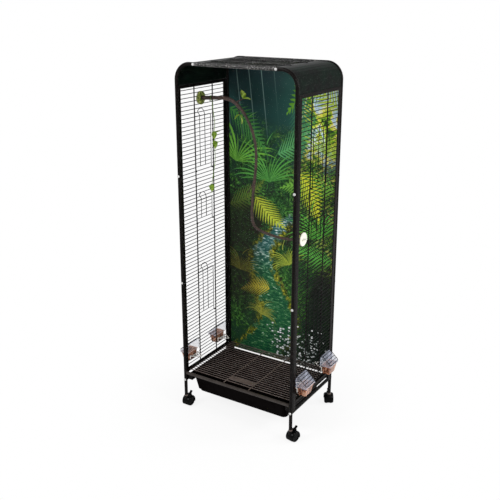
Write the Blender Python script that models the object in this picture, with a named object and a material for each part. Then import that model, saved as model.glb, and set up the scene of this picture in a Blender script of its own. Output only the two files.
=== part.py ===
# Parrot aviary on castors, metres, +Z up.
# The origin is on the floor, midway between the four posts; -Y is the front.
import bpy
import bmesh
import math
from mathutils import Matrix, Vector

# Driving sizes of the frame
FRAME_WIDTH = 0.594          # left to right, post centre to post centre
FRAME_DEPTH = 0.394          # front to back, post centre to post centre
HEIGHT = 1.680               # floor to the top of the roof tubes
TUBE_D = 0.016
TUBE_WALL = 0.0012
TUBE_SIDES = 10
CORNER_R = 0.070             # bend of the roof corners, on the centre line
ROOF_JOINT_IN = 0.099        # post line to where the bent corners meet the roof tubes
SPIGOT_LENGTH = 0.020
LEG_BOTTOM = 0.060
GAP = 0.0003                 # seated clearance between neighbours
SLIDE = 0.001                # running clearance of what slides
FLAT_ANGLE = 0.003           # faces closer to level than this are joined

# Side walls of welded wire
WIRE_D = 0.003
UPRIGHT_W = 0.0055           # the two thick uprights, inside the wires
UPRIGHT_T = 0.004
WIRE_PITCH = 0.018
FIRST_WIRE_Z = 0.201
LOW_ROWS = 2                 # wires below the floor ledge
PLATE_T = 0.004              # flat bar of the wall frames
SIDE_BAR = 0.0222            # width of the upright flat bars
COLUMN_Y = 0.071             # uprights from the middle
WELD = 0.002                 # how far a wire runs into the bar that holds it
TOP_BAR_DROP = (0.120, 0.105)  # below the top of the roof tubes
PLATE_SET = 0.0015           # wall bars stand in from the outside of the posts
LEDGE_BAR = (0.190, 0.203)
LEDGE_REACH = 0.015          # how far the floor ledge stands in from the post line
LEDGE_T = 0.002
LOW_RAIL_Z = 0.152

# Doors, their sills and headers in rows of wire
UPPER_DOOR = (21, 7)         # below the top wire
LOWER_DOOR = (13, 26)        # above the first wire
MIDDLE_DOOR_ROWS = 6         # its sill lies midway between the other two doors
DOOR_HALF = 0.0635
DOOR_WIRE_D = 0.0028
DOOR_CORNER = 0.009
LATCH_HALF = 0.020
LATCH_RISE = 0.030
LATCH_LEAN = 0.008

# Feeding places, one in the front column and one in the back column
FEED_SILL = 2
FEED_HEADER = 7
FEEDER_W = 0.082
HOOD_REACH = 0.052
HOOD_T = 0.0018
HOOD_EAR = 0.009
CUP_TOP = 0.274
CUP_BOTTOM = 0.228
CUP_TAPER = 0.007
CUP_T = 0.0016
CUP_LIP = 0.0025
FLAP_LENGTH = 0.070
FLAP_DROP = 42.0             # degrees below level, at rest on the hood
FLAP_WIRES = 4
PERCH_REACH = 0.050
PERCH_Z = 0.257
PERCH_D = 0.005
PERCH_HALF = 0.028

# Base
FRONT_RAIL = (0.182, 0.196)
FRONT_RAIL_DEPTH = 0.012
RUNNER_Z = (0.152, 0.178)
RUNNER_W = 0.019
RUNNER_T = 0.002
RUNNER_GAP = 0.005           # between the tray's wall and a runner
RIM_GAP = 0.008              # between the tray's rim and the low tubes
TRAY_SIDE = (0.051, 0.039)   # in from the post line, at the floor and under the rim
TRAY_BOTTOM = 0.088
TRAY_STEP = 0.012
TRAY_RIM_T = 0.0025
TRAY_T = 0.0025
TRAY_FRONT = (0.041, 0.010)
TRAY_BACK = (0.047, 0.033)
TRAY_CORNER = 0.020
GRATE_ENDS = (0.025, 0.055)  # first and last wires in from the front and rear post lines
GRATE_GAP = 0.002            # between the wires' ends and the posts
GRATE_WIRE_D = 0.0032
GRATE_STRIP = (0.005, 0.002)
GRATE_STRIP_X = 0.070
FINGER_PLATE = (0.045, 0.072)  # in from the front post line

# Panels and covers
PANEL_T = 0.003
PANEL_INSET = 0.002
FRONT_PANEL_BOTTOM = 0.212
BACK_PANEL_BOTTOM = 0.176
COVER_T = 0.0012
COVER_PROUD = 0.0045         # cover face outside the tube centre line
ROOF_BAR = 0.012
ROOF_RIB_Y = 0.071
ROOF_RIB = (0.008, 0.003)

# Branch perch: points chosen along its middle, from left wall to right wall,
# as shares of the half width, half depth and height, from the middle of the roof
BRANCH_POINTS = (
    (-0.9832, -0.0914, -0.1036), (-0.7576, -0.1015, -0.1006), (-0.5185, -0.1421, -0.0988),
    (-0.3300, -0.1726, -0.1089), (-0.1549, -0.2183, -0.1357), (-0.0135, -0.2640, -0.1720),
    (0.0673, -0.3046, -0.2113), (0.0976, -0.3553, -0.2560), (0.0909, -0.4010, -0.3006),
    (0.0808, -0.4569, -0.3518), (0.0943, -0.5076, -0.3958), (0.1549, -0.5330, -0.4202),
    (0.3030, -0.5584, -0.4298), (0.5286, -0.5990, -0.4345), (0.7811, -0.6396, -0.4333),
    (0.9832, -0.6701, -0.4250))
BRANCH_R = (0.0085, 0.0095)
TWIGS = (((0.0875, -0.4061, -0.3048), (0.0202, -0.3655, -0.3214), (-0.0673, -0.3350, -0.3405)),
         ((-0.3704, -0.1675, -0.1071), (-0.3098, -0.1523, -0.1202), (-0.2828, -0.1218, -0.1393)),
         ((-0.3300, -0.1726, -0.1071), (-0.2626, -0.1574, -0.1000), (-0.2020, -0.1421, -0.0952)))
TWIG_R = 0.004
FLANGE_D = 0.060
FLANGE_T = 0.006
STUD_D = 0.006
CLAMP_T = 0.004
WING_REACH = 0.013
WING_RISE = 0.010
WING_T = 0.0025
BRANCH_LEAVES = ((-0.2121, -0.1447, -0.0965, 20, 25), (-0.2828, -0.1218, -0.1381, 30, -70))
VINE_POINTS = ((-0.8316, -0.0051, -0.1131), (-0.8283, 0.0203, -0.1429), (-0.8081, 0.0203, -0.1726),
               (-0.8215, 0.0051, -0.2024), (-0.8182, 0.0000, -0.2262), (-0.7946, -0.0102, -0.2619),
               (-0.8182, -0.0102, -0.2976), (-0.8620, 0.0000, -0.3333), (-0.8822, 0.0000, -0.3679))
VINE_R = 0.0014
VINE_RING_X = -0.8316        # share of the half width
VINE_LEAVES = ((3, -20, 10), (4, -35, 20), (7, 15, 30))
LEAF_LENGTH = 0.034
LEAF_WIDTH = 0.015
LEAF_T = 0.0012

# Castors: corner name, side of x, side of y, heading of the wheels in degrees
CASTORS = (("front_left", -1, -1, 90.0), ("front_right", 1, -1, 78.0),
           ("rear_left", -1, 1, 62.0), ("rear_right", 1, 1, 122.0))
WHEEL_R = 0.025
WHEEL_W = 0.018
CASTOR_TRAIL = 0.019
CASTOR_WEB = 0.006
CASTOR_W = 0.046
CASTOR_WALL = 0.0025
WHEEL_CLEAR = 0.0015
AXLE_D = 0.006
STEM_LENGTH = 0.030
COLLAR_D = 0.019
LEVER_W = 0.013
LEVER_LENGTH = 0.020
LEVER_TILT = 30.0

# Worked out from the sizes above
PX = FRAME_WIDTH / 2
PY = FRAME_DEPTH / 2
TUBE_R = TUBE_D / 2
WIRE_R = WIRE_D / 2
TOP_Z = HEIGHT - TUBE_R
BORE_R = TUBE_R - TUBE_WALL
PLUG_R = BORE_R * math.cos(math.pi / TUBE_SIDES) - GAP   # what fits a tube's bore
WALL_Y = PY - TUBE_R - GAP           # where the wall frames meet the posts
PLATE_X = PX + TUBE_R - PLATE_T / 2 - PLATE_SET
PLATE_IN = PLATE_X - PLATE_T / 2
PLATE_OUT = PLATE_X + PLATE_T / 2
WIRE_X = PLATE_X
WIRE_OUT = WIRE_X + WIRE_R
THINNER = 0.9                        # a welded cross wire against the rim that holds it
FLAT = math.sqrt(math.pi) / 2        # half width of a square wire over its radius
CORNER = FLAT * math.sqrt(2)
UPRIGHT_OUT = WIRE_X - WIRE_R * FLAT - GAP
EYE_R = WIRE_R * CORNER + DOOR_WIRE_D / 2 * FLAT + 2 * GAP
DOOR_X = WIRE_X + EYE_R
FEED_FACE = PLATE_OUT + GAP          # where hoods lie on the side bars
FEED_Y = (COLUMN_Y + UPRIGHT_W / 2 + WALL_Y - SIDE_BAR) / 2    # middle of a feeding place
FLAP_Z = FIRST_WIRE_Z + FEED_HEADER * WIRE_PITCH
FLAP_TURN = math.radians(FLAP_DROP)
HOOD_RISE = (EYE_R - DOOR_WIRE_D / 2 * FLAT - 2 * GAP) / math.cos(FLAP_TURN)
HOOD_TOP = FLAP_Z - EYE_R - DOOR_WIRE_D / 2 * CORNER - GAP      # clear of the flap's eyes
HOOD_BEND = WIRE_X + (FLAP_Z + HOOD_RISE - HOOD_TOP) / math.tan(FLAP_TURN)
HOOD_OUT = FEED_FACE + HOOD_REACH
HOOD_EAVE = FLAP_Z + HOOD_RISE - (HOOD_OUT - WIRE_X) * math.tan(FLAP_TURN)
ROOF_JOINT_X = PX - ROOF_JOINT_IN
TOP_BAR = (HEIGHT - TOP_BAR_DROP[0], HEIGHT - TOP_BAR_DROP[1])
WIRE_ROWS = int((TOP_BAR[0] - FIRST_WIRE_Z) / WIRE_PITCH)
UPPER_SILL = WIRE_ROWS - UPPER_DOOR[0]
MIDDLE_SILL = (LOWER_DOOR[1] + UPPER_SILL) // 2
DOORS = (("upper", UPPER_SILL, WIRE_ROWS - UPPER_DOOR[1]),
         ("middle", MIDDLE_SILL, MIDDLE_SILL + MIDDLE_DOOR_ROWS),
         ("lower", *LOWER_DOOR))
TRAY_FLOOR_X = PX - TRAY_SIDE[0]
TRAY_WALL_X = PX - TRAY_SIDE[1]
GRATE_FIRST_Y = GRATE_ENDS[0] - PY
GRATE_ROWS = int((FRAME_DEPTH - sum(GRATE_ENDS)) / WIRE_PITCH) + 1
RIM_TOP = FRONT_RAIL[0] - SLIDE
RIM_X = PX - TUBE_R - RIM_GAP
RUNNER_IN = TRAY_WALL_X + RUNNER_GAP
LEDGE_TOP = FRONT_RAIL[1] + SLIDE + LEDGE_T / 4
GRATE_Z = LEDGE_TOP + GAP + GRATE_WIRE_D / 2
GRATE_X = PX - TUBE_R - GRATE_GAP
LEDGE_IN = PX - LEDGE_REACH


def row_z(row):
    """Height of a numbered wire of the side walls."""
    return FIRST_WIRE_Z + row * WIRE_PITCH


def from_roof(point):
    """A place given in shares of the frame's sizes, from the middle of the roof."""
    return Vector((PX * point[0], PY * point[1], HEIGHT + HEIGHT * point[2]))


def material(name, color, roughness, metallic=0.0, transmission=0.0):
    mat = bpy.data.materials.new(name)
    mat.use_nodes = True
    shader = mat.node_tree.nodes["Principled BSDF"]
    shader.inputs["Base Color"].default_value = (*color, 1.0)
    shader.inputs["Roughness"].default_value = roughness
    shader.inputs["Metallic"].default_value = metallic
    shader.inputs["Transmission Weight"].default_value = transmission
    return mat


def finish(obj, name, mat, origin=(0, 0, 0), angle=35.0):
    """Name an object, give it its own material and put its origin on its axis."""
    obj.name = name
    obj.data.name = name
    copy = mat.copy()
    copy.name = name
    obj.data.materials.clear()
    obj.data.materials.append(copy)
    obj.data.transform(Matrix.Translation(-Vector(origin)))
    obj.location = origin
    obj.data.shade_smooth()
    obj.data.set_sharp_from_angle(angle=math.radians(angle))
    return obj


def mesh_object(bm, name="piece"):
    bmesh.ops.recalc_face_normals(bm, faces=bm.faces)
    mesh = bpy.data.meshes.new(name)
    bm.to_mesh(mesh)
    bm.free()
    obj = bpy.data.objects.new(name, mesh)
    bpy.context.collection.objects.link(obj)
    return obj


def boolean(obj, others, operation):
    """Join or cut with the exact solver, then drop the operands."""
    for other in others:
        mod = obj.modifiers.new("boolean", "BOOLEAN")
        mod.operation = operation
        mod.solver = "EXACT"
        mod.object = other
    bpy.context.view_layer.update()
    graph = bpy.context.evaluated_depsgraph_get()
    mesh = bpy.data.meshes.new_from_object(obj.evaluated_get(graph))
    obj.modifiers.clear()
    bm = bmesh.new()
    bm.from_mesh(mesh)
    bmesh.ops.dissolve_limit(bm, angle_limit=FLAT_ANGLE, verts=bm.verts, edges=bm.edges)
    bm.to_mesh(mesh)
    bm.free()
    obj.data = mesh
    for other in others:
        bpy.data.objects.remove(other)
    return obj


def fuse(obj, *others):
    return boolean(obj, others, "UNION")


def cut(obj, *others):
    return boolean(obj, others, "DIFFERENCE")


def gather(objects):
    """Put separate bodies into one object."""
    bm = bmesh.new()
    for obj in objects:
        bm.from_mesh(obj.data)
        bpy.data.objects.remove(obj)
    return mesh_object(bm)


def ring(bm, points):
    return [bm.verts.new(p) for p in points]


def bridge(bm, a, b):
    count = len(a)
    for i in range(count):
        j = (i + 1) % count
        bm.faces.new((a[i], a[j], b[j], b[i]))


def loft(rings, closed=False):
    """Skin a row of rings; the ends are capped unless the row closes on itself."""
    bm = bmesh.new()
    loops = [ring(bm, points) for points in rings]
    for a, b in zip(loops, loops[1:]):
        bridge(bm, a, b)
    if closed:
        bridge(bm, loops[-1], loops[0])
    else:
        bm.faces.new(loops[0])
        bm.faces.new(loops[-1])
    return mesh_object(bm)


def box(x0, x1, y0, y1, z0, z1):
    return loft([[(x0, y0, z), (x1, y0, z), (x1, y1, z), (x0, y1, z)] for z in (z0, z1)])


def extrude_y(profile, y0, y1):
    """Extrude a closed XZ profile from y0 to y1."""
    return loft([[(x, y, z) for x, z in profile] for y in (y0, y1)])


def turned(profile, center, axis, sides):
    """Turn (radius, position) pairs round an axis through the centre."""
    axis = Vector(axis)
    side = axis.orthogonal().normalized()
    other = axis.cross(side)
    rings = []
    for radius, along in profile:
        base = Vector(center) + axis * along
        rings.append([base + radius * (side * math.cos(a) + other * math.sin(a))
                      for a in (2 * math.pi * i / sides for i in range(sides))])
    return loft(rings)


def rod(start, end, radius, sides=12):
    start = Vector(start)
    span = Vector(end) - start
    return turned(((radius, 0.0), (radius, span.length)), start, span.normalized(), sides)


def arc_points(center, radius, start, stop, steps, plane=lambda a, b: (a, b)):
    """Points of an arc; plane turns (across, up) into a place."""
    points = []
    for i in range(steps + 1):
        angle = math.radians(start + (stop - start) * i / steps)
        points.append(plane(center[0] + radius * math.cos(angle),
                            center[1] + radius * math.sin(angle)))
    return points


def sweep_rings(path, radii, sides, twist=0.0):
    """Rings of a round bar along a path, mitred at the bends."""
    path = [Vector(p) for p in path]
    tangents = []
    for i, point in enumerate(path):
        before = path[i] - path[i - 1] if i else path[1] - path[0]
        after = path[i + 1] - path[i] if i + 1 < len(path) else before
        tangents.append((before.normalized() + after.normalized()).normalized())
    side = Vector((0, 1, 0)) if abs(tangents[0].y) < 0.9 else Vector((0, 0, 1))
    rings = []
    for point, tangent, radius in zip(path, tangents, radii):
        side = (side - tangent * side.dot(tangent)).normalized()
        other = tangent.cross(side)
        turns = [2 * math.pi * (i + twist) / sides for i in range(sides)]
        rings.append([point + radius * (side * math.cos(a) + other * math.sin(a)) for a in turns])
    return rings


def wire(path, radius):
    """A wire with four flats and the section of a round one."""
    return loft(sweep_rings(path, [radius * CORNER] * len(path), 4, 0.5))


def socket_bar(path, outer, bore, depths, sides=TUBE_SIDES):
    """A bent tube whose bore is open for a given depth at each end."""
    outside = sweep_rings(path, [outer] * len(path), sides)
    mouths = []
    for near, far, depth in ((0, 1, depths[0]), (-1, -2, depths[1])):
        start = Vector(path[near])
        end = start + (Vector(path[far]) - start).normalized() * depth
        line = (start, end) if near == 0 else (end, start)
        mouths.append(sweep_rings(line, [bore] * 2, sides))
    return loft(mouths[0][::-1] + outside + mouths[1][::-1])


def plate(side, columns, rows, solid, x0, x1):
    """A flat frame in the YZ plane, from a grid whose solid cells are kept."""
    bm = bmesh.new()
    verts = {}

    def vert(face, j, k):
        key = (face, j, k)
        if key not in verts:
            verts[key] = bm.verts.new((side * (x1 if face else x0), columns[j], rows[k]))
        return verts[key]

    cells = {(j, k) for j in range(len(columns) - 1) for k in range(len(rows) - 1)
             if solid((columns[j] + columns[j + 1]) / 2, (rows[k] + rows[k + 1]) / 2)}
    for j, k in cells:
        corners = ((j, k), (j + 1, k), (j + 1, k + 1), (j, k + 1))
        for face in (0, 1):
            bm.faces.new([vert(face, *c) for c in corners])
        neighbours = ((j, k - 1), (j + 1, k), (j, k + 1), (j - 1, k))
        for index, cell in enumerate(neighbours):
            if cell not in cells:
                a = corners[index]
                b = corners[(index + 1) % 4]
                bm.faces.new((vert(0, *a), vert(0, *b), vert(1, *b), vert(1, *a)))
    bmesh.ops.recalc_face_normals(bm, faces=bm.faces)
    bmesh.ops.dissolve_limit(bm, angle_limit=FLAT_ANGLE, verts=bm.verts, edges=bm.edges)
    return mesh_object(bm)


def rounded_rectangle(x, y0, y1, z, radius, steps=3):
    points = []
    corners = ((x - radius, y1 - radius, 0), (radius - x, y1 - radius, 90),
               (radius - x, y0 + radius, 180), (x - radius, y0 + radius, 270))
    for cx, cy, start in corners:
        points += arc_points((cx, cy), radius, start, start + 90, steps, lambda a, b: (a, b, z))
    return points


def frame_posts():
    """Four posts, each bent over at the top to its roof joint."""
    for name_y, sy in (("front", -1), ("rear", 1)):
        for name_x, sx in (("left", -1), ("right", 1)):
            def place(a, b, sx=sx, sy=sy):
                return (sx * a, sy * PY, b)

            path = [place(PX, LEG_BOTTOM)]
            path += arc_points((PX - CORNER_R, TOP_Z - CORNER_R), CORNER_R, 0, 90, 6, place)
            path.append(place(ROOF_JOINT_X + GAP / 2, TOP_Z))
            depths = (STEM_LENGTH + SLIDE, SPIGOT_LENGTH + SLIDE)
            post = socket_bar(path, TUBE_R, BORE_R, depths)
            finish(post, f"{name_x}_{name_y}_post", BLACK)


def roof_tubes():
    """Straight roof tubes with a spigot at each end that enters the bent corners."""
    body = ROOF_JOINT_X - GAP / 2
    end = body + SPIGOT_LENGTH
    spigot = PLUG_R
    bore = spigot - TUBE_WALL
    profile = ((bore, -body), (bore, -end), (spigot, -end), (spigot, -body),
               (TUBE_R, -body), (TUBE_R, body), (spigot, body), (spigot, end), (bore, end),
               (bore, body))
    for name, sy in (("front", -1), ("rear", 1)):
        bar = turned(profile, (0, sy * PY, TOP_Z), (1, 0, 0), TUBE_SIDES)
        finish(bar, f"roof_{name}_tube", BLACK)


def bottom_rails():
    reach = PX - TUBE_R - GAP
    half = FRONT_RAIL_DEPTH / 2
    low, high = FRONT_RAIL
    round_r = 0.004
    middle = (low + high) / 2
    rise = (high - low) / 2
    profile = []
    for cy, cz, start in ((1, 1, 0), (-1, 1, 90), (-1, -1, 180), (1, -1, 270)):
        center = (-PY + cy * (half - round_r), middle + cz * (rise - round_r))
        profile += arc_points(center, round_r, start, start + 90, 2)
    front = loft([[(x, y, z) for y, z in profile] for x in (-reach, reach)])
    finish(front, "front_bottom_rail", BLACK)
    rear = rod((-reach, PY, LOW_RAIL_Z), (reach, PY, LOW_RAIL_Z), TUBE_R)
    finish(rear, "rear_bottom_rail", BLACK)


def side_frame(name, side):
    """Welded side wall: flat bars, uprights, wires, floor ledge and low tube."""
    inner = WALL_Y - SIDE_BAR
    columns = [-WALL_Y, -inner, inner, WALL_Y]
    rows = [LOW_RAIL_Z, *LEDGE_BAR, *TOP_BAR]

    def solid(y, z):
        in_bar = any(low < z < high for low, high in (LEDGE_BAR, TOP_BAR))
        return abs(y) > inner or in_bar

    frame = plate(side, columns, rows, solid, PLATE_IN, PLATE_OUT)
    low_tube = rod((side * PX, -WALL_Y, LOW_RAIL_Z), (side * PX, WALL_Y, LOW_RAIL_Z), TUBE_R)
    ledge_x = sorted((side * LEDGE_IN, side * PLATE_X))
    ledge = box(*ledge_x, -WALL_Y, WALL_Y, LEDGE_TOP - LEDGE_T, LEDGE_TOP)
    upright_x = sorted((side * (UPRIGHT_OUT - UPRIGHT_T), side * UPRIGHT_OUT))
    half = UPRIGHT_W / 2
    uprights = [box(*upright_x, y - half, y + half, LEDGE_BAR[0], TOP_BAR[1])
                for y in (-COLUMN_Y, COLUMN_Y)]
    frame = fuse(frame, low_tube, ledge, *uprights)
    finish(fuse(frame, side_wires(side)), f"{name}_side_frame", BLACK)


def side_wires(side):
    """The welded horizontal wires, left out behind the doors and feeding places."""
    pieces = []

    def lay(row, y0, y1, inset=0.0):
        x = side * (WIRE_X - inset)
        pieces.append(wire(((x, y0, row_z(row)), (x, y1, row_z(row))), WIRE_R))

    column_in = COLUMN_Y - UPRIGHT_W / 2
    column_out = COLUMN_Y + UPRIGHT_W / 2
    end = WALL_Y - SIDE_BAR + WELD
    for row in list(range(-LOW_ROWS, 0)) + list(range(1, WIRE_ROWS + 1)):
        if any(sill < row < header for _, sill, header in DOORS):
            lay(row, -end, -column_in)
            lay(row, column_in, end)
        elif FEED_SILL < row < FEED_HEADER:
            lay(row, -column_out, column_out, 3 * GAP)
        else:
            lay(row, -end, end)
    return gather(pieces)


def side_door(name, side, sill, header):
    """Drop-down wire door: eyes round the sill wire, a latch loop over the header."""
    z0 = row_z(sill)
    z1 = row_z(header)
    r = DOOR_WIRE_D / 2
    x = side * DOOR_X
    rim = []
    for sy in (-1, 1):
        eye = arc_points((WIRE_X, z0), EYE_R, 120, 360, 5,
                         lambda a, b, sy=sy: (side * a, sy * DOOR_HALF, b))
        corner = arc_points((DOOR_HALF - DOOR_CORNER, z1 - DOOR_CORNER), DOOR_CORNER, 0, 90, 3,
                            lambda a, b, sy=sy: (x, sy * a, b))
        leg = eye + corner
        rim += leg if sy < 0 else leg[::-1]
    rows = [wire(((x, -DOOR_HALF, row_z(row)), (x, DOOR_HALF, row_z(row))), r * THINNER)
            for row in range(sill + 1, header)]
    door = fuse(wire(rim, r), gather(rows))
    lift = 2 * r + GAP
    outer = side * (DOOR_X + lift)
    tip = side * (DOOR_X + lift + LATCH_LEAN)
    low = z0 + WIRE_PITCH - r
    latch = []
    for sy in (-1, 1):
        leg = [(outer, sy * LATCH_HALF, low), (outer, sy * LATCH_HALF, z1 + 0.004),
               (tip, sy * (LATCH_HALF + 0.004), z1 + LATCH_RISE * 0.6),
               (tip, sy * LATCH_HALF * 0.45, z1 + LATCH_RISE)]
        latch += leg if sy < 0 else leg[::-1]
    loop = wire(latch, r)
    tie_z = (low + r, z1)
    ties = [rod((x, sy * LATCH_HALF, z), (outer, sy * LATCH_HALF, z), r * THINNER ** 2, 4)
            for sy in (-1, 1) for z in tie_z]
    door = fuse(door, gather(ties), loop)
    finish(door, f"{name}_door", BLACK, (side * WIRE_X, 0, z0))


def feeder_flap(name, side, y):
    """Wire flap hinged on the header of a feeding place, at rest on the hood."""
    r = DOOR_WIRE_D / 2
    half = FEEDER_W / 2
    out = Vector((side * math.cos(FLAP_TURN), 0, -math.sin(FLAP_TURN)))
    up = Vector((side * math.sin(FLAP_TURN), 0, math.cos(FLAP_TURN)))
    axis = Vector((side * WIRE_X, y, FLAP_Z))

    def place(along, across, lift):
        return axis + out * along + up * lift + Vector((0, across, 0))

    rim = []
    for sy in (-1, 1):
        eye = arc_points((0, 0), EYE_R, -150, 90, 5,
                         lambda a, b, sy=sy: place(a, sy * half, b))
        corner = arc_points((FLAP_LENGTH - DOOR_CORNER, half - DOOR_CORNER), DOOR_CORNER, 90, 0, 3,
                            lambda a, b, sy=sy: place(a, sy * b, EYE_R))
        leg = eye + corner
        rim += leg if sy < 0 else leg[::-1]
    flap = wire(rim, r)
    rows = []
    for i in range(1, FLAP_WIRES + 1):
        along = FLAP_LENGTH * i / (FLAP_WIRES + 1)
        ends = (place(along, -half, EYE_R), place(along, half, EYE_R))
        rows.append(wire(ends, r * THINNER))
    finish(fuse(flap, gather(rows)), f"{name}_flap", BLACK, axis)


def feeder_hood(name, side, y):
    """Clear moulded hood: open to the cage and below, grooved for the cup's rim."""
    half = FEEDER_W / 2
    x0 = FEED_FACE
    x1 = HOOD_OUT
    groove = CUP_TOP - CUP_T - 3 * SLIDE / 2
    low = groove - HOOD_T
    t = HOOD_T

    def prism(points, y0, y1):
        return extrude_y([(side * a, b) for a, b in points], y + y0, y + y1)

    shell = prism(((x0, low), (x1, low), (x1, HOOD_EAVE), (HOOD_BEND, HOOD_TOP), (x0, HOOD_TOP)),
                  -half, half)
    shift = t * math.tan(FLAP_TURN / 2)
    eave_in = HOOD_EAVE - t * math.tan((math.pi / 2 - FLAP_TURN) / 2)
    hollow = prism(((x0 - 0.01, low - 0.01), (x1 - t, low - 0.01), (x1 - t, eave_in),
                    (HOOD_BEND - shift, HOOD_TOP - t), (x0 - 0.01, HOOD_TOP - t)), t - half, half - t)
    mouth = prism(((x1 - 2 * t, low - 0.01), (x1 + 0.01, low - 0.01),
                   (x1 + 0.01, CUP_TOP + SLIDE / 2), (x1 - 2 * t, CUP_TOP + SLIDE / 2)),
                  t - half, half - t)
    shell = cut(shell, hollow, mouth)
    lips = []
    for sy in (-1, 1):
        edge = sorted((sy * (half - t / 2), sy * (half - t - CUP_LIP)))
        lips.append(prism(((x0, low), (x1, low), (x1, groove), (x0, groove)), *edge))
        ear = sorted((sy * (half - t / 2), sy * (half + HOOD_EAR)))
        lips.append(prism(((x0, groove + 0.004), (x0 + t, groove + 0.004), (x0 + t, HOOD_TOP - 0.004),
                           (x0, HOOD_TOP - 0.004)), *ear))
    finish(fuse(shell, *lips), f"{name}_hood", CLEAR)


def feeder_cup(name, side, y):
    """Tapered amber cup whose rim slides in the hood's grooves."""
    wall_half = FEEDER_W / 2 - HOOD_T - CUP_LIP - SLIDE / 2
    rim_half = wall_half + CUP_LIP
    x0 = FEED_FACE + SLIDE / 2
    x1 = HOOD_OUT - SLIDE / 2
    taper = CUP_TAPER

    def loop(half, a, b, z, radius):
        pts = rounded_rectangle(half, a, b, z, radius, 2)
        return [(side * p[1], y + p[0], p[2]) for p in pts]

    t = CUP_T
    rings = [loop(wall_half - taper, x0 + 0.002, x1 - taper * 1.6, CUP_BOTTOM, 0.005),
             loop(wall_half, x0 + t, x1 - t, CUP_TOP - t, 0.006),
             loop(rim_half, x0, x1, CUP_TOP - t, 0.003),
             loop(rim_half, x0, x1, CUP_TOP, 0.003),
             loop(wall_half - t, x0 + 2 * t, x1 - 2 * t, CUP_TOP, 0.004),
             loop(wall_half - taper - t, x0 + t + 0.002, x1 - taper * 1.6 - t,
                  CUP_BOTTOM + t, 0.003)]
    finish(loft(rings), f"{name}_cup", AMBER, ((side * (x0 + x1) / 2), y, CUP_TOP))


def feeder_perch(name, side, y):
    """White plastic perch inside the cage that stands on the sill wire."""
    r = PERCH_D / 2
    base_x = PLATE_X - 0.010
    tip_x = WIRE_X - PERCH_REACH
    half = PERCH_HALF
    z = PERCH_Z
    foot_z = row_z(FEED_SILL) + WIRE_R + GAP
    frame = wire(((side * WIRE_X, y - half, foot_z), (side * WIRE_X, y - half, z),
                  (side * base_x, y - half, z), (side * tip_x, y, z),
                  (side * base_x, y + half, z), (side * WIRE_X, y + half, z),
                  (side * WIRE_X, y + half, foot_z)), r)
    bar = rod((side * base_x, y - half, z), (side * base_x, y + half, z), r * 0.9, 4)
    finish(fuse(frame, bar), f"{name}_perch", WHITE)


def feeders():
    for side_name, side in (("left", -1), ("right", 1)):
        for place_name, sy in (("front", -1), ("rear", 1)):
            name = f"{side_name}_{place_name}_feeder"
            y = sy * FEED_Y
            feeder_flap(name, side, y)
            feeder_hood(name, side, y)
            feeder_cup(name, side, y)
            feeder_perch(name, side, y)


def corner_cover(name, side):
    """Sheet bent round a roof corner, from the wall's top bar to the roof grille."""
    outer = CORNER_R + COVER_PROUD
    inner = outer - COVER_T
    center = (PX - CORNER_R, TOP_Z - CORNER_R)
    low = TOP_BAR[1] + GAP
    end = ROOF_JOINT_X + GAP / 2

    def flat(a, b):
        return (side * a, b)

    outside = [flat(center[0] + outer, low)]
    outside += arc_points(center, outer, 0, 90, 7, flat)
    outside.append(flat(end, center[1] + outer))
    inside = [flat(center[0] + inner, low)]
    inside += arc_points(center, inner, 0, 90, 7, flat)
    inside.append(flat(end, center[1] + inner))
    cover = extrude_y(outside + inside[::-1], -WALL_Y, WALL_Y)
    finish(cover, f"{name}_corner_cover", BLACK)


def roof_grille():
    """Flat frame with wires front to back and two ribs on top."""
    half_x = ROOF_JOINT_X - GAP / 2
    top = TOP_Z + COVER_PROUD
    low = top - PLATE_T
    middle = (top + low) / 2
    outer = box(-half_x, half_x, -WALL_Y, WALL_Y, low, top)
    hole = box(ROOF_BAR - half_x, half_x - ROOF_BAR, ROOF_BAR - WALL_Y, WALL_Y - ROOF_BAR,
               low - PLATE_T, top + PLATE_T)
    frame = cut(outer, hole)
    wires = []
    count = int((half_x - ROOF_BAR) / WIRE_PITCH)
    reach = WALL_Y - ROOF_BAR / 2
    for i in range(-count, count + 1):
        x = i * WIRE_PITCH
        wires.append(wire(((x, -reach, middle), (x, reach, middle)), WIRE_R))
    width, rise = ROOF_RIB
    ribs = []
    for sy in (-1, 1):
        y = sy * ROOF_RIB_Y
        rib = box(-half_x, half_x, y - width / 2, y + width / 2, middle + WIRE_R + GAP,
                  middle + WIRE_R + GAP + rise)
        ribs.append(rib)
    frame = fuse(frame, gather(wires))
    finish(fuse(frame, *ribs), "roof_grille", BLACK)


def panel(name, y0, half_x, bottom, top, radius, mat):
    """Flat panel with the roof's rounded corners."""
    outline = [(half_x, bottom)]
    outline += arc_points((half_x - radius, top - radius), radius, 0, 90, 7)
    outline += arc_points((radius - half_x, top - radius), radius, 90, 180, 7)
    outline.append((-half_x, bottom))
    finish(extrude_y(outline, y0, y0 + PANEL_T), name, mat)


def panels():
    half = PX - PANEL_INSET
    top = TOP_Z - PANEL_INSET
    front_y = -PY + TUBE_R + GAP
    panel("front_panel", front_y, half, FRONT_PANEL_BOTTOM, top, CORNER_R - PANEL_INSET, CLEAR)
    inner = PX - TUBE_R - GAP
    panel("back_panel", PY - PANEL_T / 2, inner, BACK_PANEL_BOTTOM,
          TOP_Z - TUBE_R - GAP, CORNER_R - TUBE_R, PRINT)


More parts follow.
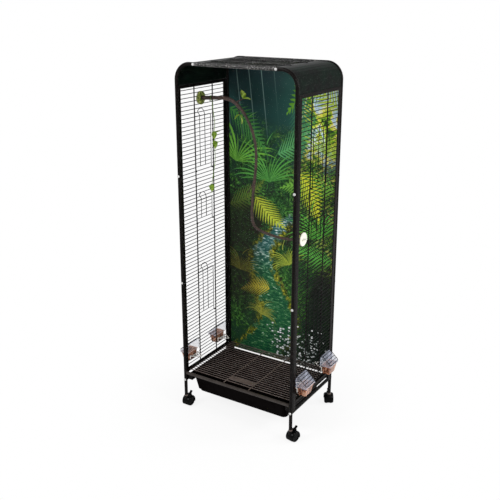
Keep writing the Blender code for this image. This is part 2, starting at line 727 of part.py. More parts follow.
def tray_runner(name, side):
    """Channel that carries the tray's rim, with a foot plate at each end."""
    x0 = RUNNER_IN
    x1 = RUNNER_IN + RUNNER_W
    low, high = RUNNER_Z
    t = RUNNER_T
    profile = ((x0, low), (x1, low), (x1, high), (x0, high), (x0, high - t), (x1 - t, high - t),
               (x1 - t, low + t), (x0, low + t))
    end = WALL_Y
    runner = extrude_y([(side * a, b) for a, b in profile], -end, end)
    plates = []
    for sy in (-1, 1):
        edges = sorted((sy * end, sy * (end - t)))
        reach = sorted((side * x0, side * (PX - TUBE_R - GAP)))
        plates.append(box(*reach, *edges, low, high))
    finish(fuse(runner, *plates), f"{name}_tray_runner", BLACK)


def drop_tray():
    """Moulded tray: a stepped floor, sloping front and a rim that hangs on the runners."""
    top = RIM_TOP
    under = top - TRAY_RIM_T
    t = TRAY_T
    r = TRAY_CORNER
    f0, f1 = (inset - PY for inset in TRAY_FRONT)
    b0, b1 = (PY - inset for inset in TRAY_BACK)
    step = TRAY_BOTTOM + TRAY_STEP
    step_x = (TRAY_WALL_X + TRAY_FLOOR_X) / 2 + 0.002
    rim_y = 0.005
    rings = [rounded_rectangle(TRAY_FLOOR_X, f0, b0, TRAY_BOTTOM, r),
             rounded_rectangle(TRAY_FLOOR_X + 0.002, f0 - 0.002, b0 + 0.002, step - 0.002, r),
             rounded_rectangle(step_x, f0 - 0.008, b0 + 0.006, step, r),
             rounded_rectangle(TRAY_WALL_X, f1, b1, under, r),
             rounded_rectangle(RIM_X, f1 - rim_y, b1 + rim_y, under, r * 0.6),
             rounded_rectangle(RIM_X, f1 - rim_y, b1 + rim_y, top, r * 0.6),
             rounded_rectangle(TRAY_WALL_X - t, f1 + t, b1 - t, top, r - t),
             rounded_rectangle(step_x - t, f0 - 0.008 + t, b0 + 0.006 - t, step + t, r - t),
             rounded_rectangle(TRAY_FLOOR_X - t, f0 + t, b0 - t, TRAY_BOTTOM + t, r - t)]
    finish(loft(rings), "drop_tray", TRAY, (0, 0, RIM_TOP))


def floor_grate():
    """Pull-out floor grille: cross wires, two strips and a finger plate."""
    r = GRATE_WIRE_D / 2
    wires = []
    for i in range(GRATE_ROWS):
        y = GRATE_FIRST_Y + i * WIRE_PITCH
        radius = r * 1.4 if i == 0 else r
        z = GRATE_Z - r + radius
        wires.append(wire(((-GRATE_X, y, z), (GRATE_X, y, z)), radius))
    last = GRATE_FIRST_Y + (GRATE_ROWS - 1) * WIRE_PITCH
    width, thick = GRATE_STRIP
    z0 = GRATE_Z + r * 0.6
    strips = []
    for sx in (-1, 1):
        x = sx * GRATE_STRIP_X
        strips.append(box(x - width / 2, x + width / 2, -PY, last + width / 2, z0, z0 + thick))
    bar = box(-GRATE_STRIP_X, GRATE_STRIP_X, FINGER_PLATE[0] - PY, FINGER_PLATE[1] - PY,
              z0 + thick * 0.1, z0 + thick * 0.9)
    grate = fuse(gather(wires), gather(strips))
    finish(fuse(grate, bar), "floor_grate", BLACK, (0, 0, GRATE_Z))


def smooth_path(points, parts):
    """A curve through chosen points, each span cut in equal parts."""
    pts = [Vector(p) for p in points]
    out = []
    for i in range(len(pts) - 1):
        p0 = pts[max(i - 1, 0)]
        p1 = pts[i]
        p2 = pts[i + 1]
        p3 = pts[min(i + 2, len(pts) - 1)]
        for k in range(parts):
            t = k / parts
            out.append(0.5 * (2 * p1 + (p2 - p0) * t + (2 * p0 - 5 * p1 + 4 * p2 - p3) * t * t
                              + (3 * p1 - p0 - 3 * p2 + p3) * t ** 3))
    out.append(pts[-1])
    return out


def branch_perch():
    """Branch from wall to wall, with twigs and a threaded stud at each end."""
    path = smooth_path([from_roof(p) for p in BRANCH_POINTS], 2)
    low, high = BRANCH_R
    end_x = WIRE_X - WIRE_R - GAP - FLANGE_T - GAP
    for point, sx in ((path[0], -1), (path[-1], 1)):
        point.x = sx * end_x
    radii = [low + (high - low) * 0.5 * (1 + math.sin(i * 1.9)) for i in range(len(path))]
    rings = sweep_rings(path, radii, 7)
    for end, sx in ((0, -1), (-1, 1)):
        rings[end] = [Vector((sx * end_x, p.y, p.z)) for p in rings[end]]
    branch = loft(rings)
    studs = []
    for point, sx in ((path[0], -1), (path[-1], 1)):
        start = Vector((point.x - sx * 0.004, point.y, point.z))
        end = Vector((sx * (WIRE_OUT + CLAMP_T + 0.012), point.y, point.z))
        studs.append(rod(start, end, STUD_D / 2, 8))
    twigs = [loft(sweep_rings([from_roof(p) for p in points],
                              [TWIG_R, TWIG_R * 0.8, TWIG_R * 0.5], 5)) for points in TWIGS]
    blades = [leaf(from_roof(spec), *spec[3:]) for spec in BRANCH_LEAVES]
    finish(fuse(branch, *studs, *twigs, *blades), "branch_perch", BARK)
    return path


def washer(center, axis, outer, bore, thickness, sides=16):
    """A round disc with a bore, from the centre outward along the axis."""
    edge = thickness * 0.25
    profile = ((bore, 0), (outer, 0), (outer, thickness - edge),
               (outer - edge, thickness), (bore, thickness))
    axis = Vector(axis)
    side = axis.orthogonal().normalized()
    other = axis.cross(side)
    rings = []
    for radius, along in profile:
        base = Vector(center) + axis * along
        rings.append([base + radius * (side * math.cos(a) + other * math.sin(a))
                      for a in (2 * math.pi * i / sides for i in range(sides))])
    return loft(rings, closed=True)


def branch_fixings(ends):
    """Flanges inside the wires, and winged clamp discs outside them."""
    bore = STUD_D / 2 + GAP
    for name, side, end in (("left", -1, ends[0]), ("right", 1, ends[1])):
        inside = (side * (WIRE_X - WIRE_R - GAP - FLANGE_T), end.y, end.z)
        flange = washer(inside, (side, 0, 0), FLANGE_D / 2, bore, FLANGE_T)
        finish(flange, f"branch_{name}_flange", GREEN)
        outside = (side * (WIRE_OUT + GAP), end.y, end.z)
        disc = washer(outside, (side, 0, 0), FLANGE_D / 2, bore, CLAMP_T)
        face = WIRE_OUT + GAP + CLAMP_T
        edge = sorted((side * (face - 0.001), side * (face + WING_RISE)))
        wings = []
        for sy in (-1, 1):
            span = sorted((end.y + sy * (bore + 0.001), end.y + sy * WING_REACH))
            wings.append(box(*edge, *span, end.z - WING_T / 2, end.z + WING_T / 2))
        finish(fuse(disc, *wings), f"branch_{name}_clamp", CREAM)


def leaf(base, heading, pitch):
    """A pointed leaf with a raised middle, growing from its base."""
    outline = ((0.0, 0.0), (0.25, 0.7), (0.55, 1.0), (0.85, 0.5), (1.0, 0.0))
    bm = bmesh.new()
    tops = []
    bottoms = []
    for along, wide in outline:
        for sides, lift in ((tops, LEAF_T), (bottoms, 0.0)):
            reach = along * LEAF_LENGTH
            half = wide * LEAF_WIDTH / 2
            row = [bm.verts.new((reach, -half, lift)), bm.verts.new((reach, 0, lift * 1.8)),
                   bm.verts.new((reach, half, lift))] if wide else [bm.verts.new((reach, 0, lift))]
            sides.append(row)
    for rows, flip in ((tops, False), (bottoms, True)):
        for a, b in zip(rows, rows[1:]):
            if len(a) == 1:
                faces = ((a[0], b[0], b[1]), (a[0], b[1], b[2]))
            elif len(b) == 1:
                faces = ((a[0], b[0], a[1]), (a[1], b[0], a[2]))
            else:
                faces = ((a[0], b[0], b[1], a[1]), (a[1], b[1], b[2], a[2]))
            for face in faces:
                bm.faces.new(face[::-1] if flip else face)
    for edge in (0, -1):
        for t0, t1, b0, b1 in zip(tops, tops[1:], bottoms, bottoms[1:]):
            bm.faces.new((t0[edge], t1[edge], b1[edge], b0[edge]))
    obj = mesh_object(bm)
    turn = Matrix.Rotation(math.radians(heading), 4, "Z") @ Matrix.Rotation(-math.radians(pitch), 4, "Y")
    obj.data.transform(Matrix.Translation(base) @ turn)
    return obj


def leaf_vine(branch_path):
    """Plastic vine: a ring hung over the branch, a drooping stem and its leaves."""
    near = min(branch_path, key=lambda p: abs(p.x - PX * VINE_RING_X))
    inner = BRANCH_R[1] + 3 * VINE_R
    hang = Vector((near.x, near.y, near.z + BRANCH_R[1] + GAP - inner))
    band = washer(hang - Vector((VINE_R, 0, 0)), (1, 0, 0), inner + 2 * VINE_R, inner, 2 * VINE_R, 12)
    start = hang + Vector((0, 0.6 * (inner + VINE_R), -0.8 * (inner + VINE_R)))
    path = smooth_path((start, *(from_roof(p) for p in VINE_POINTS[1:])), 1)
    stem = wire(path, VINE_R)
    blades = [leaf(from_roof(VINE_POINTS[i]), heading, pitch) for i, heading, pitch in VINE_LEAVES]
    finish(fuse(band, stem, *blades), "leaf_vine", GREEN)


def castor(name, sx, sy, heading):
    """Twin-wheel castor: stem and hood, wheels on an axle, brake lever."""
    trail = CASTOR_TRAIL
    hood_in = WHEEL_R + WHEEL_CLEAR
    hood_out = hood_in + CASTOR_WALL
    half = CASTOR_W / 2
    web = CASTOR_WEB / 2
    center = Vector((trail, 0, WHEEL_R))
    collar_top = LEG_BOTTOM - GAP
    shade = turned(((hood_out - 0.003, -half), (hood_out, -half + 0.003), (hood_out, half - 0.003),
                    (hood_out - 0.003, half)), center, (0, 1, 0), 18)
    post = turned(((COLLAR_D / 2 - 0.0015, 0.034), (COLLAR_D / 2 - 0.0015, collar_top - 0.006),
                   (COLLAR_D / 2, collar_top - 0.006), (COLLAR_D / 2, collar_top),
                   (PLUG_R, collar_top), (PLUG_R, LEG_BOTTOM + STEM_LENGTH)),
                  (0, 0, 0), (0, 0, 1), TUBE_SIDES)
    pivot = Vector((trail + 0.009, 0, WHEEL_R + hood_out + 0.0015))
    barrel = 0.003
    lug = box(pivot.x - 0.005, pivot.x + 0.004, -LEVER_W / 2 - 0.004, LEVER_W / 2 + 0.004,
              pivot.z - 0.008, pivot.z + 0.003)
    body = fuse(shade, post, lug)
    wells = []
    for s in (-1, 1):
        edge = (s * web, s * (half + 0.01))
        wells.append(rod((trail, min(edge), WHEEL_R), (trail, max(edge), WHEEL_R), hood_in, 18))
    skirt = box(-0.06, 0.10, -0.05, 0.05, -0.01, 0.016)
    bore = rod((trail, -half, WHEEL_R), (trail, half, WHEEL_R), AXLE_D / 2 + GAP, 8)
    slot = box(pivot.x - 0.007, pivot.x + 0.012, -LEVER_W / 2 - GAP, LEVER_W / 2 + GAP,
               pivot.z - barrel - GAP, pivot.z + 0.012)
    body = cut(body, *wells, skirt, bore, slot)
    inner = web + GAP
    outer = inner + WHEEL_W
    crown = 0.003
    wheels = turned(((WHEEL_R - crown, -outer), (WHEEL_R, crown - outer), (WHEEL_R, -inner),
                     (AXLE_D / 2, -inner), (AXLE_D / 2, inner), (WHEEL_R, inner),
                     (WHEEL_R, outer - crown), (WHEEL_R - crown, outer)), center, (0, 1, 0), 16)
    tilt = math.radians(LEVER_TILT)
    along = Vector((math.cos(tilt), 0, math.sin(tilt)))
    up = Vector((-math.sin(tilt), 0, math.cos(tilt)))
    blade_rings = []
    for reach, thick, wide in ((0.0, 0.0022, 1.0), (LEVER_LENGTH * 0.7, 0.0018, 1.0),
                               (LEVER_LENGTH, 0.0012, 0.6)):
        base = pivot + along * reach
        w = wide * LEVER_W / 2
        blade_rings.append([base + up * a + Vector((0, b, 0))
                            for a, b in ((-thick, -w), (-thick, w), (thick, w), (thick, -w))])
    lever = fuse(loft(blade_rings), rod(pivot - Vector((0, LEVER_W / 2, 0)),
                                        pivot + Vector((0, LEVER_W / 2, 0)), barrel, 6))
    empty = bpy.data.objects.new(f"{name}_castor_axis", None)
    bpy.context.collection.objects.link(empty)
    empty.location = (sx * PX, sy * PY, 0)
    empty.rotation_euler = (0, 0, math.radians(heading))
    finish(body, f"{name}_castor_body", CASTOR)
    finish(wheels, f"{name}_castor_wheels", RUBBER, center)
    finish(lever, f"{name}_castor_lever", CASTOR, pivot)
    for obj in (body, wheels, lever):
        obj.parent = empty


for old in list(bpy.data.objects):
    bpy.data.objects.remove(old, do_unlink=True)

BLACK = material("black_coat", (0.02, 0.02, 0.02), 0.4, 0.4)
CLEAR = material("clear_plastic", (0.75, 0.82, 0.9), 0.05, 0.0, 0.9)
AMBER = material("amber_plastic", (0.62, 0.25, 0.10), 0.15, 0.0, 0.5)
WHITE = material("white_plastic", (0.85, 0.84, 0.80), 0.4)
CREAM = material("cream_plastic", (0.80, 0.78, 0.70), 0.45)
GREEN = material("green_plastic", (0.18, 0.42, 0.08), 0.5)
BARK = material("bark", (0.10, 0.055, 0.03), 0.85)
PRINT = material("printed_panel", (0.06, 0.16, 0.08), 0.4)
TRAY = material("black_tray", (0.012, 0.01, 0.01), 0.45)
CASTOR = material("black_castor", (0.012, 0.012, 0.012), 0.4)
RUBBER = material("black_wheel", (0.02, 0.02, 0.02), 0.6)

frame_posts()
roof_tubes()
bottom_rails()
for side_name, side_sign in (("left", -1), ("right", 1)):
    side_frame(side_name, side_sign)
    corner_cover(side_name, side_sign)
    tray_runner(side_name, side_sign)
    for door_name, sill_row, header_row in DOORS:
        side_door(f"{side_name}_{door_name}", side_sign, sill_row, header_row)
feeders()
roof_grille()
panels()
drop_tray()
floor_grate()
branch_path = branch_perch()
branch_fixings((branch_path[0], branch_path[-1]))
leaf_vine(branch_path)
for castor_spec in CASTORS:
    castor(*castor_spec)
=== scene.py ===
# Looks of the parrot aviary: finishes, round wires, branch, vine, castors and studio.
import bpy
import bmesh
import math
from mathutils import Matrix, Vector, noise


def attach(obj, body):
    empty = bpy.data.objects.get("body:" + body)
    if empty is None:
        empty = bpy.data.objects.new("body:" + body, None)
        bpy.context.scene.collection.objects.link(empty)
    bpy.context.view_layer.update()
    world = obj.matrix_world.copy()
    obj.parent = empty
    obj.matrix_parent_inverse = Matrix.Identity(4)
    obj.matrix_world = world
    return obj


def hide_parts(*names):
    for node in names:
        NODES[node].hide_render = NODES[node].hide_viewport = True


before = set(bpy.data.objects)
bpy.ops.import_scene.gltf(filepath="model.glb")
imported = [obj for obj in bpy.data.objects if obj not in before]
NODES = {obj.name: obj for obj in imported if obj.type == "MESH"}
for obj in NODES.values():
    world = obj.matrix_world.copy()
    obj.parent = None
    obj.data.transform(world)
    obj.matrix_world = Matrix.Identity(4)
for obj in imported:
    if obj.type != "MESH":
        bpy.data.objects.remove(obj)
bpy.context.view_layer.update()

# Sizes repeated from the model, in metres
PX = 0.297
PY = 0.197
TUBE_R = 0.008
TOP_Z = 1.672
CORNER_R = 0.070
ROOF_JOINT_X = 0.198
LEG_BOTTOM = 0.060
GAP = 0.0003
WIRE_R = 0.0015
WIRE_PITCH = 0.018
FIRST_WIRE_Z = 0.201
WIRE_ROWS = 75
LOW_ROWS = 2
WALL_Y = PY - TUBE_R - GAP
PLATE_X = 0.3015
PLATE_T = 0.004
SIDE_BAR = 0.0222
COLUMN_Y = 0.071
UPRIGHT = (0.0055, 0.004)
TOP_BAR = (1.560, 1.575)
LEDGE_BAR = (0.190, 0.203)
LEDGE_IN = 0.282
LEDGE_T = 0.002
LEDGE_TOP = 0.1975
LOW_RAIL_Z = 0.152
DOORS = {"upper": (54, 68), "middle": (40, 46), "lower": (13, 26)}
DOOR_HALF = 0.0635
DOOR_R = 0.0014
EYE_R = 0.0037
DOOR_CORNER = 0.009
LATCH = (0.020, 0.030, 0.008)    # half width, rise, lean
FEED_SILL = 2
FEED_HEADER = 7
FEED_Y = 0.120
FEEDER_W = 0.082
FLAP_LENGTH = 0.070
FLAP_DROP = 42.0
FLAP_WIRES = 4
PERCH_REACH = 0.050
PERCH_Z = 0.257
PERCH_R = 0.0025
PERCH_HALF = 0.028
PERCH_BASE = 0.010
GRATE_FIRST_Y = -0.172
GRATE_R = 0.0016
GRATE_Z = 0.1994
GRATE_X = 0.287
GRATE_STRIP_X = 0.070
GRATE_STRIP = (0.0025, 0.002)    # half width, thickness
FINGER_PLATE = (-0.152, -0.125)
SIDES = {"left": -1, "right": 1}
PLACES = {"front": -1, "rear": 1}

# Seen in the photo and drawn only here
WALL_WIRE_R = 0.00175
DOOR_WIRE_R = 0.0016
GRATE_WIRE_R = 0.0019
GRATE_ROWS = 21
CROSS_SHARE = 0.95    # of the rim wire's radius
SCREW_ROWS = (0.152, 0.663, 1.177)
ROOF_SCREW_X = 0.202
SEAT = 0.0004
HOOKS_X = (-0.012, 0.022)
HOOK_BEND = 0.004
HOOK_R = 0.0010

BRANCH_POINTS = (
    (-0.2932, -0.018, 1.506), (-0.225, -0.020, 1.511), (-0.154, -0.028, 1.514),
    (-0.098, -0.034, 1.497), (-0.046, -0.043, 1.452), (-0.004, -0.052, 1.391),
    (0.020, -0.060, 1.325), (0.029, -0.070, 1.250), (0.027, -0.079, 1.175),
    (0.024, -0.090, 1.089), (0.028, -0.100, 1.015), (0.046, -0.105, 0.974),
    (0.090, -0.110, 0.958), (0.157, -0.118, 0.950), (0.232, -0.126, 0.952),
    (0.2932, -0.132, 0.966))
TWIGS = (((0.026, -0.080, 1.168), (0.006, -0.072, 1.140), (-0.020, -0.066, 1.108)),
         ((-0.110, -0.033, 1.500), (-0.092, -0.030, 1.478), (-0.084, -0.024, 1.446)),
         ((-0.098, -0.034, 1.500), (-0.078, -0.031, 1.512), (-0.060, -0.028, 1.520)))
BRANCH_R = (0.0090, 0.0062)    # at the left wall, past the bend
TWIG_R = 0.0038
STUD_R = 0.003
BORE_R = 0.0034
FLANGE_R = 0.030
FLANGE_T = 0.006
CLAMP_T = 0.004
VINE_POINTS = ((-0.246, -0.012, 1.502), (-0.246, -0.006, 1.492), (-0.246, 0.003, 1.440),
               (-0.240, 0.004, 1.390), (-0.244, 0.001, 1.340), (-0.243, 0.000, 1.300),
               (-0.236, -0.002, 1.240), (-0.243, -0.002, 1.180), (-0.256, 0.000, 1.120),
               (-0.262, 0.000, 1.062))
VINE_R = 0.0013
LEAVES = {
    # length, width, base, heading, pitch
    "twig": ((0.040, 0.024, (-0.063, -0.0285, 1.5178), -8, 12),
             (0.042, 0.022, (-0.062, -0.0285, 1.5185), 150, 68),
             (0.034, 0.020, (-0.062, -0.0290, 1.5190), -35, 58),
             (0.042, 0.028, (-0.084, -0.024, 1.448), 30, -70),
             (0.032, 0.022, (-0.085, -0.024, 1.449), 190, -35)),
    "vine": ((0.036, 0.025, (-0.241, 0.001, 1.357), -58, -72),
             (0.030, 0.018, (-0.244, 0.002, 1.345), 20, 30),
             (0.038, 0.024, (-0.240, 0.000, 1.314), -38, -66),
             (0.032, 0.018, (-0.242, 0.001, 1.296), 10, 35),
             (0.038, 0.025, (-0.257, 0.000, 1.108), -66, -74),
             (0.030, 0.018, (-0.260, 0.000, 1.082), 150, 20)),
}

# name, side, place, heading in degrees
CASTORS = (("front_left", -1, -1, 90.0), ("front_right", 1, -1, 78.0),
           ("rear_left", -1, 1, 62.0), ("rear_right", 1, 1, 122.0))
WHEEL_R = 0.025
WHEEL_W = 0.018
TRAIL = 0.019
WEB = 0.003
CASTOR_HALF = 0.023
HOOD_IN = WHEEL_R + 0.0015
HOOD_OUT = HOOD_IN + 0.0025
COLLAR_R = 0.0095
LEVER_W = 0.013
PIVOT = Vector((TRAIL + 0.009, 0, WHEEL_R + HOOD_OUT + 0.0015))
AXLE_R = 0.003

# Camera of the photo, and lamps: name, place, size, watts
CAMERA = Vector((1.71323, -2.78426, 1.95099))
LOOK = Vector((-0.50508, 0.79912, -0.32602))
LENS = 53.43
LAMPS = (("key", (-1.6, -3.2, 3.4), 1.6, 95.0),
         ("side", (3.4, -0.6, 2.8), 1.4, 60.0),
         ("rim", (3.8, 2.0, 2.4), 1.2, 70.0))
LAMP_AIM = Vector((0, 0, 0.8))
WORLD_DIM = 0.4    # strength for diffuse light; rays that look at it see 1.0
FLOOR_HALF = 40
WHITE_LIGHT = (1.0, 1.0, 1.0, 1.0)


def row_z(row):
    return FIRST_WIRE_Z + row * WIRE_PITCH


# --- node trees ---

class Tree:
    """Short calls for building a node tree."""

    def __init__(self, tree):
        self.tree = tree

    def node(self, kind, inputs=None, **props):
        made = self.tree.nodes.new("ShaderNode" + kind)
        for key, value in props.items():
            setattr(made, key, value)
        for key, value in (inputs or {}).items():
            self.feed(made.inputs[key], value)
        return made

    def feed(self, socket, value):
        if isinstance(value, bpy.types.NodeSocket):
            self.tree.links.new(value, socket)
        else:
            socket.default_value = value

    def surface(self, inputs):
        """Feed sockets of the Principled shader."""
        shader = self.tree.nodes["Principled BSDF"]
        for key, value in inputs.items():
            self.feed(shader.inputs[key], value)

    def math(self, operation, *values, clamp=False, kind="Math"):
        made = self.node(kind, operation=operation)
        if clamp:
            made.use_clamp = True
        for socket, value in zip(made.inputs, values):
            self.feed(socket, value)
        return made.outputs[0]

    def vector(self, operation, *values):
        return self.math(operation, *values, kind="VectorMath")

    def add(self, a, b, clamp=False):
        return self.math("ADD", a, b, clamp=clamp)

    def sub(self, a, b):
        return self.math("SUBTRACT", a, b)

    def mul(self, a, b, clamp=False):
        return self.math("MULTIPLY", a, b, clamp=clamp)

    def line(self, value, factor, offset):
        """A value times a factor, plus an offset."""
        return self.math("MULTIPLY_ADD", value, factor, offset)

    def power(self, value, exponent):
        return self.math("POWER", value, exponent)

    def larger(self, a, b):
        return self.math("MAXIMUM", a, b)

    def apart(self, a, b):
        """How far two values lie apart."""
        return self.math("ABSOLUTE", self.sub(a, b))

    def mix(self, factor, a, b):
        made = self.node("Mix", data_type="RGBA")
        for index, value in ((0, factor), (6, a), (7, b)):
            if isinstance(value, tuple) and len(value) == 3:
                value = (*value, 1.0)
            self.feed(made.inputs[index], value)
        return made.outputs[2]

    def step(self, value, low, high, kind="SMOOTHSTEP"):
        return self.node("MapRange", {0: value, 1: low, 2: high}, interpolation_type=kind).outputs[0]

    def ramp(self, value, stops):
        made = self.node("ValToRGB", {"Fac": value})
        elements = made.color_ramp.elements
        while len(elements) < len(stops):
            elements.new(1.0)
        for element, (place, color) in zip(elements, stops):
            element.position = place
            element.color = (*color, 1.0)
        return made.outputs[0]

    def noise(self, vector, scale, detail=2.0, rough=0.5, distortion=0.0):
        return self.node("TexNoise", {"Vector": vector, "Scale": scale, "Detail": detail,
                                      "Roughness": rough, "Distortion": distortion}).outputs[0]

    def voronoi(self, vector, scale, **props):
        return self.node("TexVoronoi", {"Vector": vector, "Scale": scale}, **props).outputs

    def split(self, vector):
        return self.node("SeparateXYZ", {"Vector": vector}).outputs

    def picks(self, color):
        """Numbers of its own for each cell."""
        return self.node("SeparateColor", {"Color": color}).outputs

    def place(self):
        """Position on the object in metres."""
        return self.node("TexCoord").outputs["Object"]

    def bump(self, height, distance, strength=1.0):
        return self.node("Bump", {"Height": height, "Distance": distance,
                                  "Strength": strength}).outputs[0]

    def facing(self, blend):
        """More at glancing angles."""
        return self.node("LayerWeight", {"Blend": blend}).outputs["Facing"]

    def looking(self, glossy_share):
        """1 for rays that look straight or through, a share for mirrored ones, else 0."""
        path = self.node("LightPath").outputs
        seen = self.larger(path["Is Camera Ray"], path["Is Transmission Ray"])
        return self.larger(seen, self.mul(path["Is Glossy Ray"], glossy_share))

    def turned(self, x, y, c, s):
        """Two coordinates turned back by the angle of a cosine and a sine."""
        return (self.add(self.mul(x, c), self.mul(y, s)),
                self.sub(self.mul(y, c), self.mul(x, s)))

    def leaflets(self, x, z, scale, lean):
        """Small leaves scattered over a plane: a mask and a shade of their own."""
        length, width = 0.66, 0.24
        flat = self.node("CombineXYZ", {0: x, 1: z}).outputs[0]
        cells = self.voronoi(flat, scale, voronoi_dimensions="2D")
        off = self.split(self.vector("SUBTRACT", flat, cells["Position"]))
        pick = self.picks(cells["Color"])
        turn = self.line(pick[0], 2.6, lean)
        c = self.mul(self.math("COSINE", turn), scale)
        s = self.mul(self.math("SINE", turn), scale)
        along, across = self.turned(off[0], off[1], c, s)
        across = self.math("ABSOLUTE", across)
        far = self.math("DIVIDE", along, length)
        half = self.mul(self.sub(1.0, self.mul(far, far)), width)
        mask = self.step(across, half, self.sub(half, 0.06))
        rib = self.line(self.step(across, 0.0, 0.07), 0.45, 0.55)
        return mask, self.mul(self.line(pick[1], 0.85, 0.15), rib)


def material(name):
    """A new material and its tree helper."""
    mat = bpy.data.materials.new(name)
    mat.use_nodes = True
    return mat, Tree(mat.node_tree)


def hammered(name, dark, light, speck_and_sheen, scale, roughness, speck_at, gloss):
    """Hammered powder coat: dark ground, dimples with pale tops, and a thin gloss coat. Lit copies of it
    paint sheen into the tops or the ground.
    """
    mat, t = material(name)
    p = t.place()
    fine = t.noise(p, scale * 1.4, 3.0, 0.62)
    cells = t.voronoi(p, scale)["Distance"]
    ground = t.ramp(t.noise(p, 23.0, 2.0), ((0.3, dark), (0.75, light)))
    tops = t.mul(t.step(cells, speck_at, speck_at * 0.5), t.step(fine, 0.42, 0.62))
    height = t.add(cells, t.mul(fine, 0.5))
    t.surface({"Base Color": t.mix(tops, ground, speck_and_sheen), "Specular IOR Level": gloss,
               "Coat Weight": gloss, "Coat Roughness": 0.16,
               "Roughness": t.line(fine, 0.22, roughness - 0.11),
               "Normal": t.bump(height, 0.0006, 0.5)})
    return mat


def plastic(name, color, roughness, grain=900.0, bump=0.00006, gloss=0.4):
    """Moulded plastic with a fine grain and faint colour drift."""
    mat, t = material(name)
    p = t.place()
    drift = 0.12
    shade = tuple(c * (1 - drift) for c in color)
    bright = tuple(c * (1 + drift) + 0.001 for c in color)
    fine = t.noise(p, grain, 2.0)
    t.surface({"Base Color": t.ramp(t.noise(p, 34.0, 3.0), ((0.3, shade), (0.7, bright))),
               "Roughness": t.line(fine, 0.16, roughness - 0.08), "Specular IOR Level": gloss,
               "Normal": t.bump(fine, bump)})
    return mat


def clear(name, color, body, edge, roughness, ripple=9.0, depth=0.0004):
    """Clear plastic seen through: thin in the middle, fuller at glancing angles."""
    mat, t = material(name)
    p = t.place()
    film = t.noise(p, 60.0, 4.0, 0.6)
    alpha = t.line(t.power(t.facing(0.35), 2.2), edge - body, body)
    alpha = t.add(alpha, t.mul(t.step(film, 0.55, 0.8), body * 0.5), clamp=True)
    tint = tuple(c * 0.92 for c in color)
    t.surface({"Alpha": alpha, "Base Color": t.ramp(film, ((0.3, tint), (0.7, color))),
               "Roughness": t.line(film, 0.06, roughness),
               "Normal": t.bump(t.noise(p, ripple, 1.0), depth, 0.5)})
    return mat


def cup_material():
    """Amber plastic with darker streaks painted as reflections, a pale rim, and glancing edges paled by
    a painted sheen.
    """
    mat, t = material("amber_plastic")
    p = t.place()
    streaks = t.noise(t.vector("MULTIPLY", p, (1.0, 1.0, 0.35)), 110.0, 2.0, 0.5, 0.8)
    # The dark streaks in the body colour are a painted reflection of the rippled plastic.
    body = t.ramp(streaks, ((0.38, (0.05, 0.010, 0.004)), (0.45, (0.22, 0.060, 0.024)),
                            (0.51, (0.45, 0.17, 0.085)), (0.60, (0.66, 0.36, 0.23))))
    rim = t.step(t.split(p)[2], 0.2705, 0.2725)
    # The pale rim band, plus glancing edges paled: painted sheen.
    pale = t.larger(rim, t.mul(t.power(t.facing(0.4), 2.0), 0.5))
    t.surface({"Base Color": t.mix(pale, body, (0.72, 0.50, 0.42)),
               "Alpha": t.line(pale, 0.10, 0.70), "Roughness": t.line(streaks, 0.2, 0.10),
               "Normal": t.bump(streaks, 0.0016, 0.7)})
    return mat


def bark_material():
    mat, t = material("bark")
    p = t.place()
    grain = t.noise(t.vector("MULTIPLY", p, (1.0, 1.0, 0.35)), 260.0, 5.0, 0.7)
    tone = t.add(t.mul(t.noise(p, 90.0, 4.0, 0.65), 0.6), t.mul(grain, 0.4))
    color = t.ramp(tone, ((0.34, (0.010, 0.005, 0.004)), (0.5, (0.032, 0.015, 0.010)),
                          (0.62, (0.075, 0.038, 0.024)), (0.74, (0.17, 0.10, 0.065))))
    t.surface({"Base Color": color, "Roughness": t.line(grain, 0.3, 0.5),
               "Normal": t.bump(tone, 0.0022, 0.9)})
    return mat


def leaf_material(name, deep, bright, tip):
    """A leaf with veins, mottled, and paler towards its tip."""
    mat, t = material(name)
    uv = t.split(t.node("UVMap").outputs[0])
    along, off = uv[0], t.apart(uv[1], 0.5)
    rake = t.add(t.mul(along, 9.0), t.mul(off, -7.0))
    side = t.math("ABSOLUTE", t.math("SINE", t.mul(rake, math.pi)))
    veins = t.mul(t.step(off, 0.0, 0.05), t.step(side, 0.05, 0.35))
    mottle = t.noise(t.place(), 120.0, 3.0)
    base = t.mix(t.step(mottle, 0.3, 0.7), deep, bright)
    base = t.mix(t.step(along, 0.55, 1.05), base, tip)
    t.surface({"Base Color": t.mix(veins, tip, base), "Roughness": t.line(mottle, 0.2, 0.34),
               "Normal": t.bump(veins, 0.0004, 0.6)})
    return mat


def moss_material():
    mat, t = material("moss")
    p = t.place()
    tufts = t.voronoi(p, 420.0)["Distance"]
    patches = t.noise(p, 95.0, 4.0, 0.6)
    color = t.ramp(patches, ((0.32, (0.06, 0.09, 0.018)), (0.46, (0.22, 0.28, 0.045)),
                             (0.58, (0.42, 0.48, 0.11)), (0.72, (0.62, 0.64, 0.26))))
    t.surface({"Base Color": t.mix(t.step(tufts, 0.0, 0.4), (0.06, 0.09, 0.02), color),
               "Roughness": 0.85, "Normal": t.bump(t.add(tufts, patches), 0.0016, 0.9)})
    return mat


# --- back board design ---

def group(name, draw):
    """A node group of one motif, with a mask and a shade output."""
    tree = bpy.data.node_groups.new(name, "ShaderNodeTree")
    tree.interface.new_socket("P", in_out="INPUT", socket_type="NodeSocketVector")
    for item in ("X", "Z", "Turn", "Size", "Bend", "Leaflets", "Width"):
        tree.interface.new_socket(item, in_out="INPUT", socket_type="NodeSocketFloat")
    for item in ("Mask", "Shade"):
        tree.interface.new_socket(item, in_out="OUTPUT", socket_type="NodeSocketFloat")
    t = Tree(tree)
    source = tree.nodes.new("NodeGroupInput").outputs
    target = tree.nodes.new("NodeGroupOutput").inputs
    for socket, value in zip(target, draw(t, source)):
        t.feed(socket, value)
    return tree


